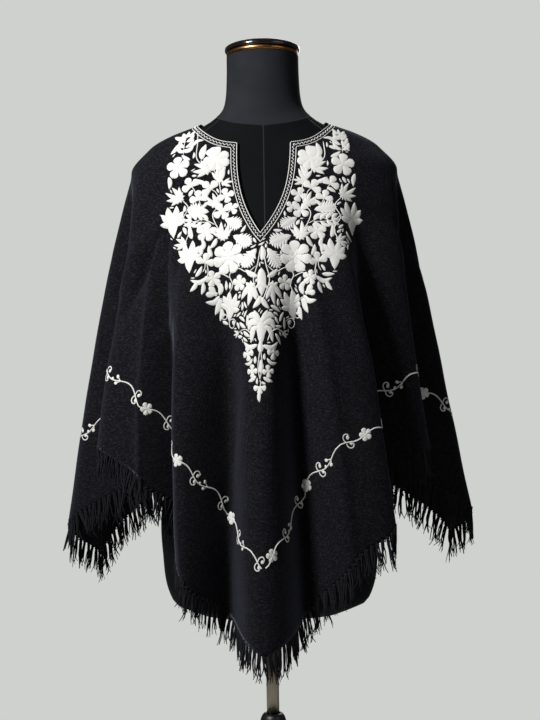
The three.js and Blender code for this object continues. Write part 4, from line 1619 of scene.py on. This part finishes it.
base_profile = [
    (0, 0),
    (BASE["radius"] - 1.5, 0),
    (BASE["radius"], 1.5),
    *corner(BASE["radius"], BASE["edge"], 4),
    (BASE["radius"] * 0.7, BASE["edge"] + 1.5),
    *hub_slope,
    *corner(BASE["hub"] * 0.9, BASE["hub_height"], 2),
    (0, BASE["hub_height"]),
]

# %% [markdown]
# Finishes of the hard pieces. Lacquered wood has a dark body under a clear gloss. The rim is copper
# alloy, polished and a little worn. The pole is drawn steel with fine lines along it, the socket is
# moulded ABS with a faint orange peel, and the base is cast iron under a powder coat.

# %% Hard finishes
def turned_piece(node, profile, material):
    name = node.replace("stand_", "turned_").replace("neck_", "turned_")
    finished_piece(name, spun(node, profile), material, [node])


lacquer, tree, shader = new_material(
    "black lacquered beech", Roughness=0.16, Coat_Weight=0.6, Coat_Roughness=0.06
)
grain = lumps(tree, 12 * MM, 4.0)
haze = in_range(tree, grain, to_low=0.1, to_high=0.24)
connect(tree, shader, {"Base Color": shade(tree, grain, "#0A0706", "#1C130E"), "Roughness": haze})
turned_piece("neck_cap_lid", lid_profile, lacquer)

brass, tree, shader = new_material("polished copper brass", Metallic=1.0, Roughness=0.25)
tarnish = lumps(tree, 9 * MM, 5.0)
dull = in_range(tree, tarnish, to_low=0.18, to_high=0.42)
connect(tree, shader, {"Base Color": shade(tree, tarnish, "#8E5A34", "#CF9A62"), "Roughness": dull})
turned_piece("neck_cap_rim", rim_profile, brass)

steel, tree, shader = new_material("satin drawn steel", Metallic=1.0, Roughness=0.34)
on_tube = add_node(tree, "TexCoord").outputs["Object"]
stretched = add_node(tree, "Mapping", {"Vector": on_tube, "Scale": (1, 1, 0.03)})
lines = lumps(tree, 0.8 * MM, 3.0, stretched.outputs["Vector"])
scratch = in_range(tree, lines, to_low=0.26, to_high=0.46)
connect(tree, shader, {"Base Color": shade(tree, lines, "#6F6859", "#A19A89"), "Roughness": scratch})
turned_piece("stand_pole", plain_rod(**POLE), steel)
turned_piece("stand_tube", plain_rod(**TUBE), steel)

abs_plastic, tree, shader = new_material("black moulded ABS", Roughness=0.42, IOR=1.54)
peel = lumps(tree, 1.5 * MM, 2.0)
moulded = shade(tree, peel, "#0C0C0D", "#161617")
connect(tree, shader, {"Base Color": moulded, "Normal": bumps(tree, peel, 0.25, 0.1 * MM)})
turned_piece("stand_socket", socket_profile, abs_plastic)

iron, tree, shader = new_material("powder-coated cast iron", Roughness=0.58)
powder = lumps(tree, 2 * MM, 3.0)
coat = shade(tree, powder, "#161617", "#242426")
connect(tree, shader, {"Base Color": coat, "Normal": bumps(tree, powder, 0.4, 0.25 * MM)})
turned_piece("stand_base", base_profile, iron)

# %% [markdown]
# The slot in the pole. A narrow slot runs down the front of the pole into the socket, a little to the
# viewer's left. It is not cut: a strip of the pole's own curve in the dark powder-coated iron is laid on
# the pole, as painted shade for the slot's shaded opening.

# %% Slot in the pole
SLOT = {"middle": -4.8, "half": 1.1, "bottom": 432, "top": 446, "off": 0.15}


def on_pole(share, rising):
    x = SLOT["middle"] + (share * 2 - 1) * SLOT["half"]
    ahead = math.sqrt((POLE["radius"] + SLOT["off"]) ** 2 - x * x)
    return Vector((x, -ahead, mix(SLOT["bottom"], SLOT["top"], rising))) * MM


# The dark strip is painted shade for the inside of the slot.
finished_piece("pole_slot_painted_shade", placed_grid(4, 1, on_pole), iron)
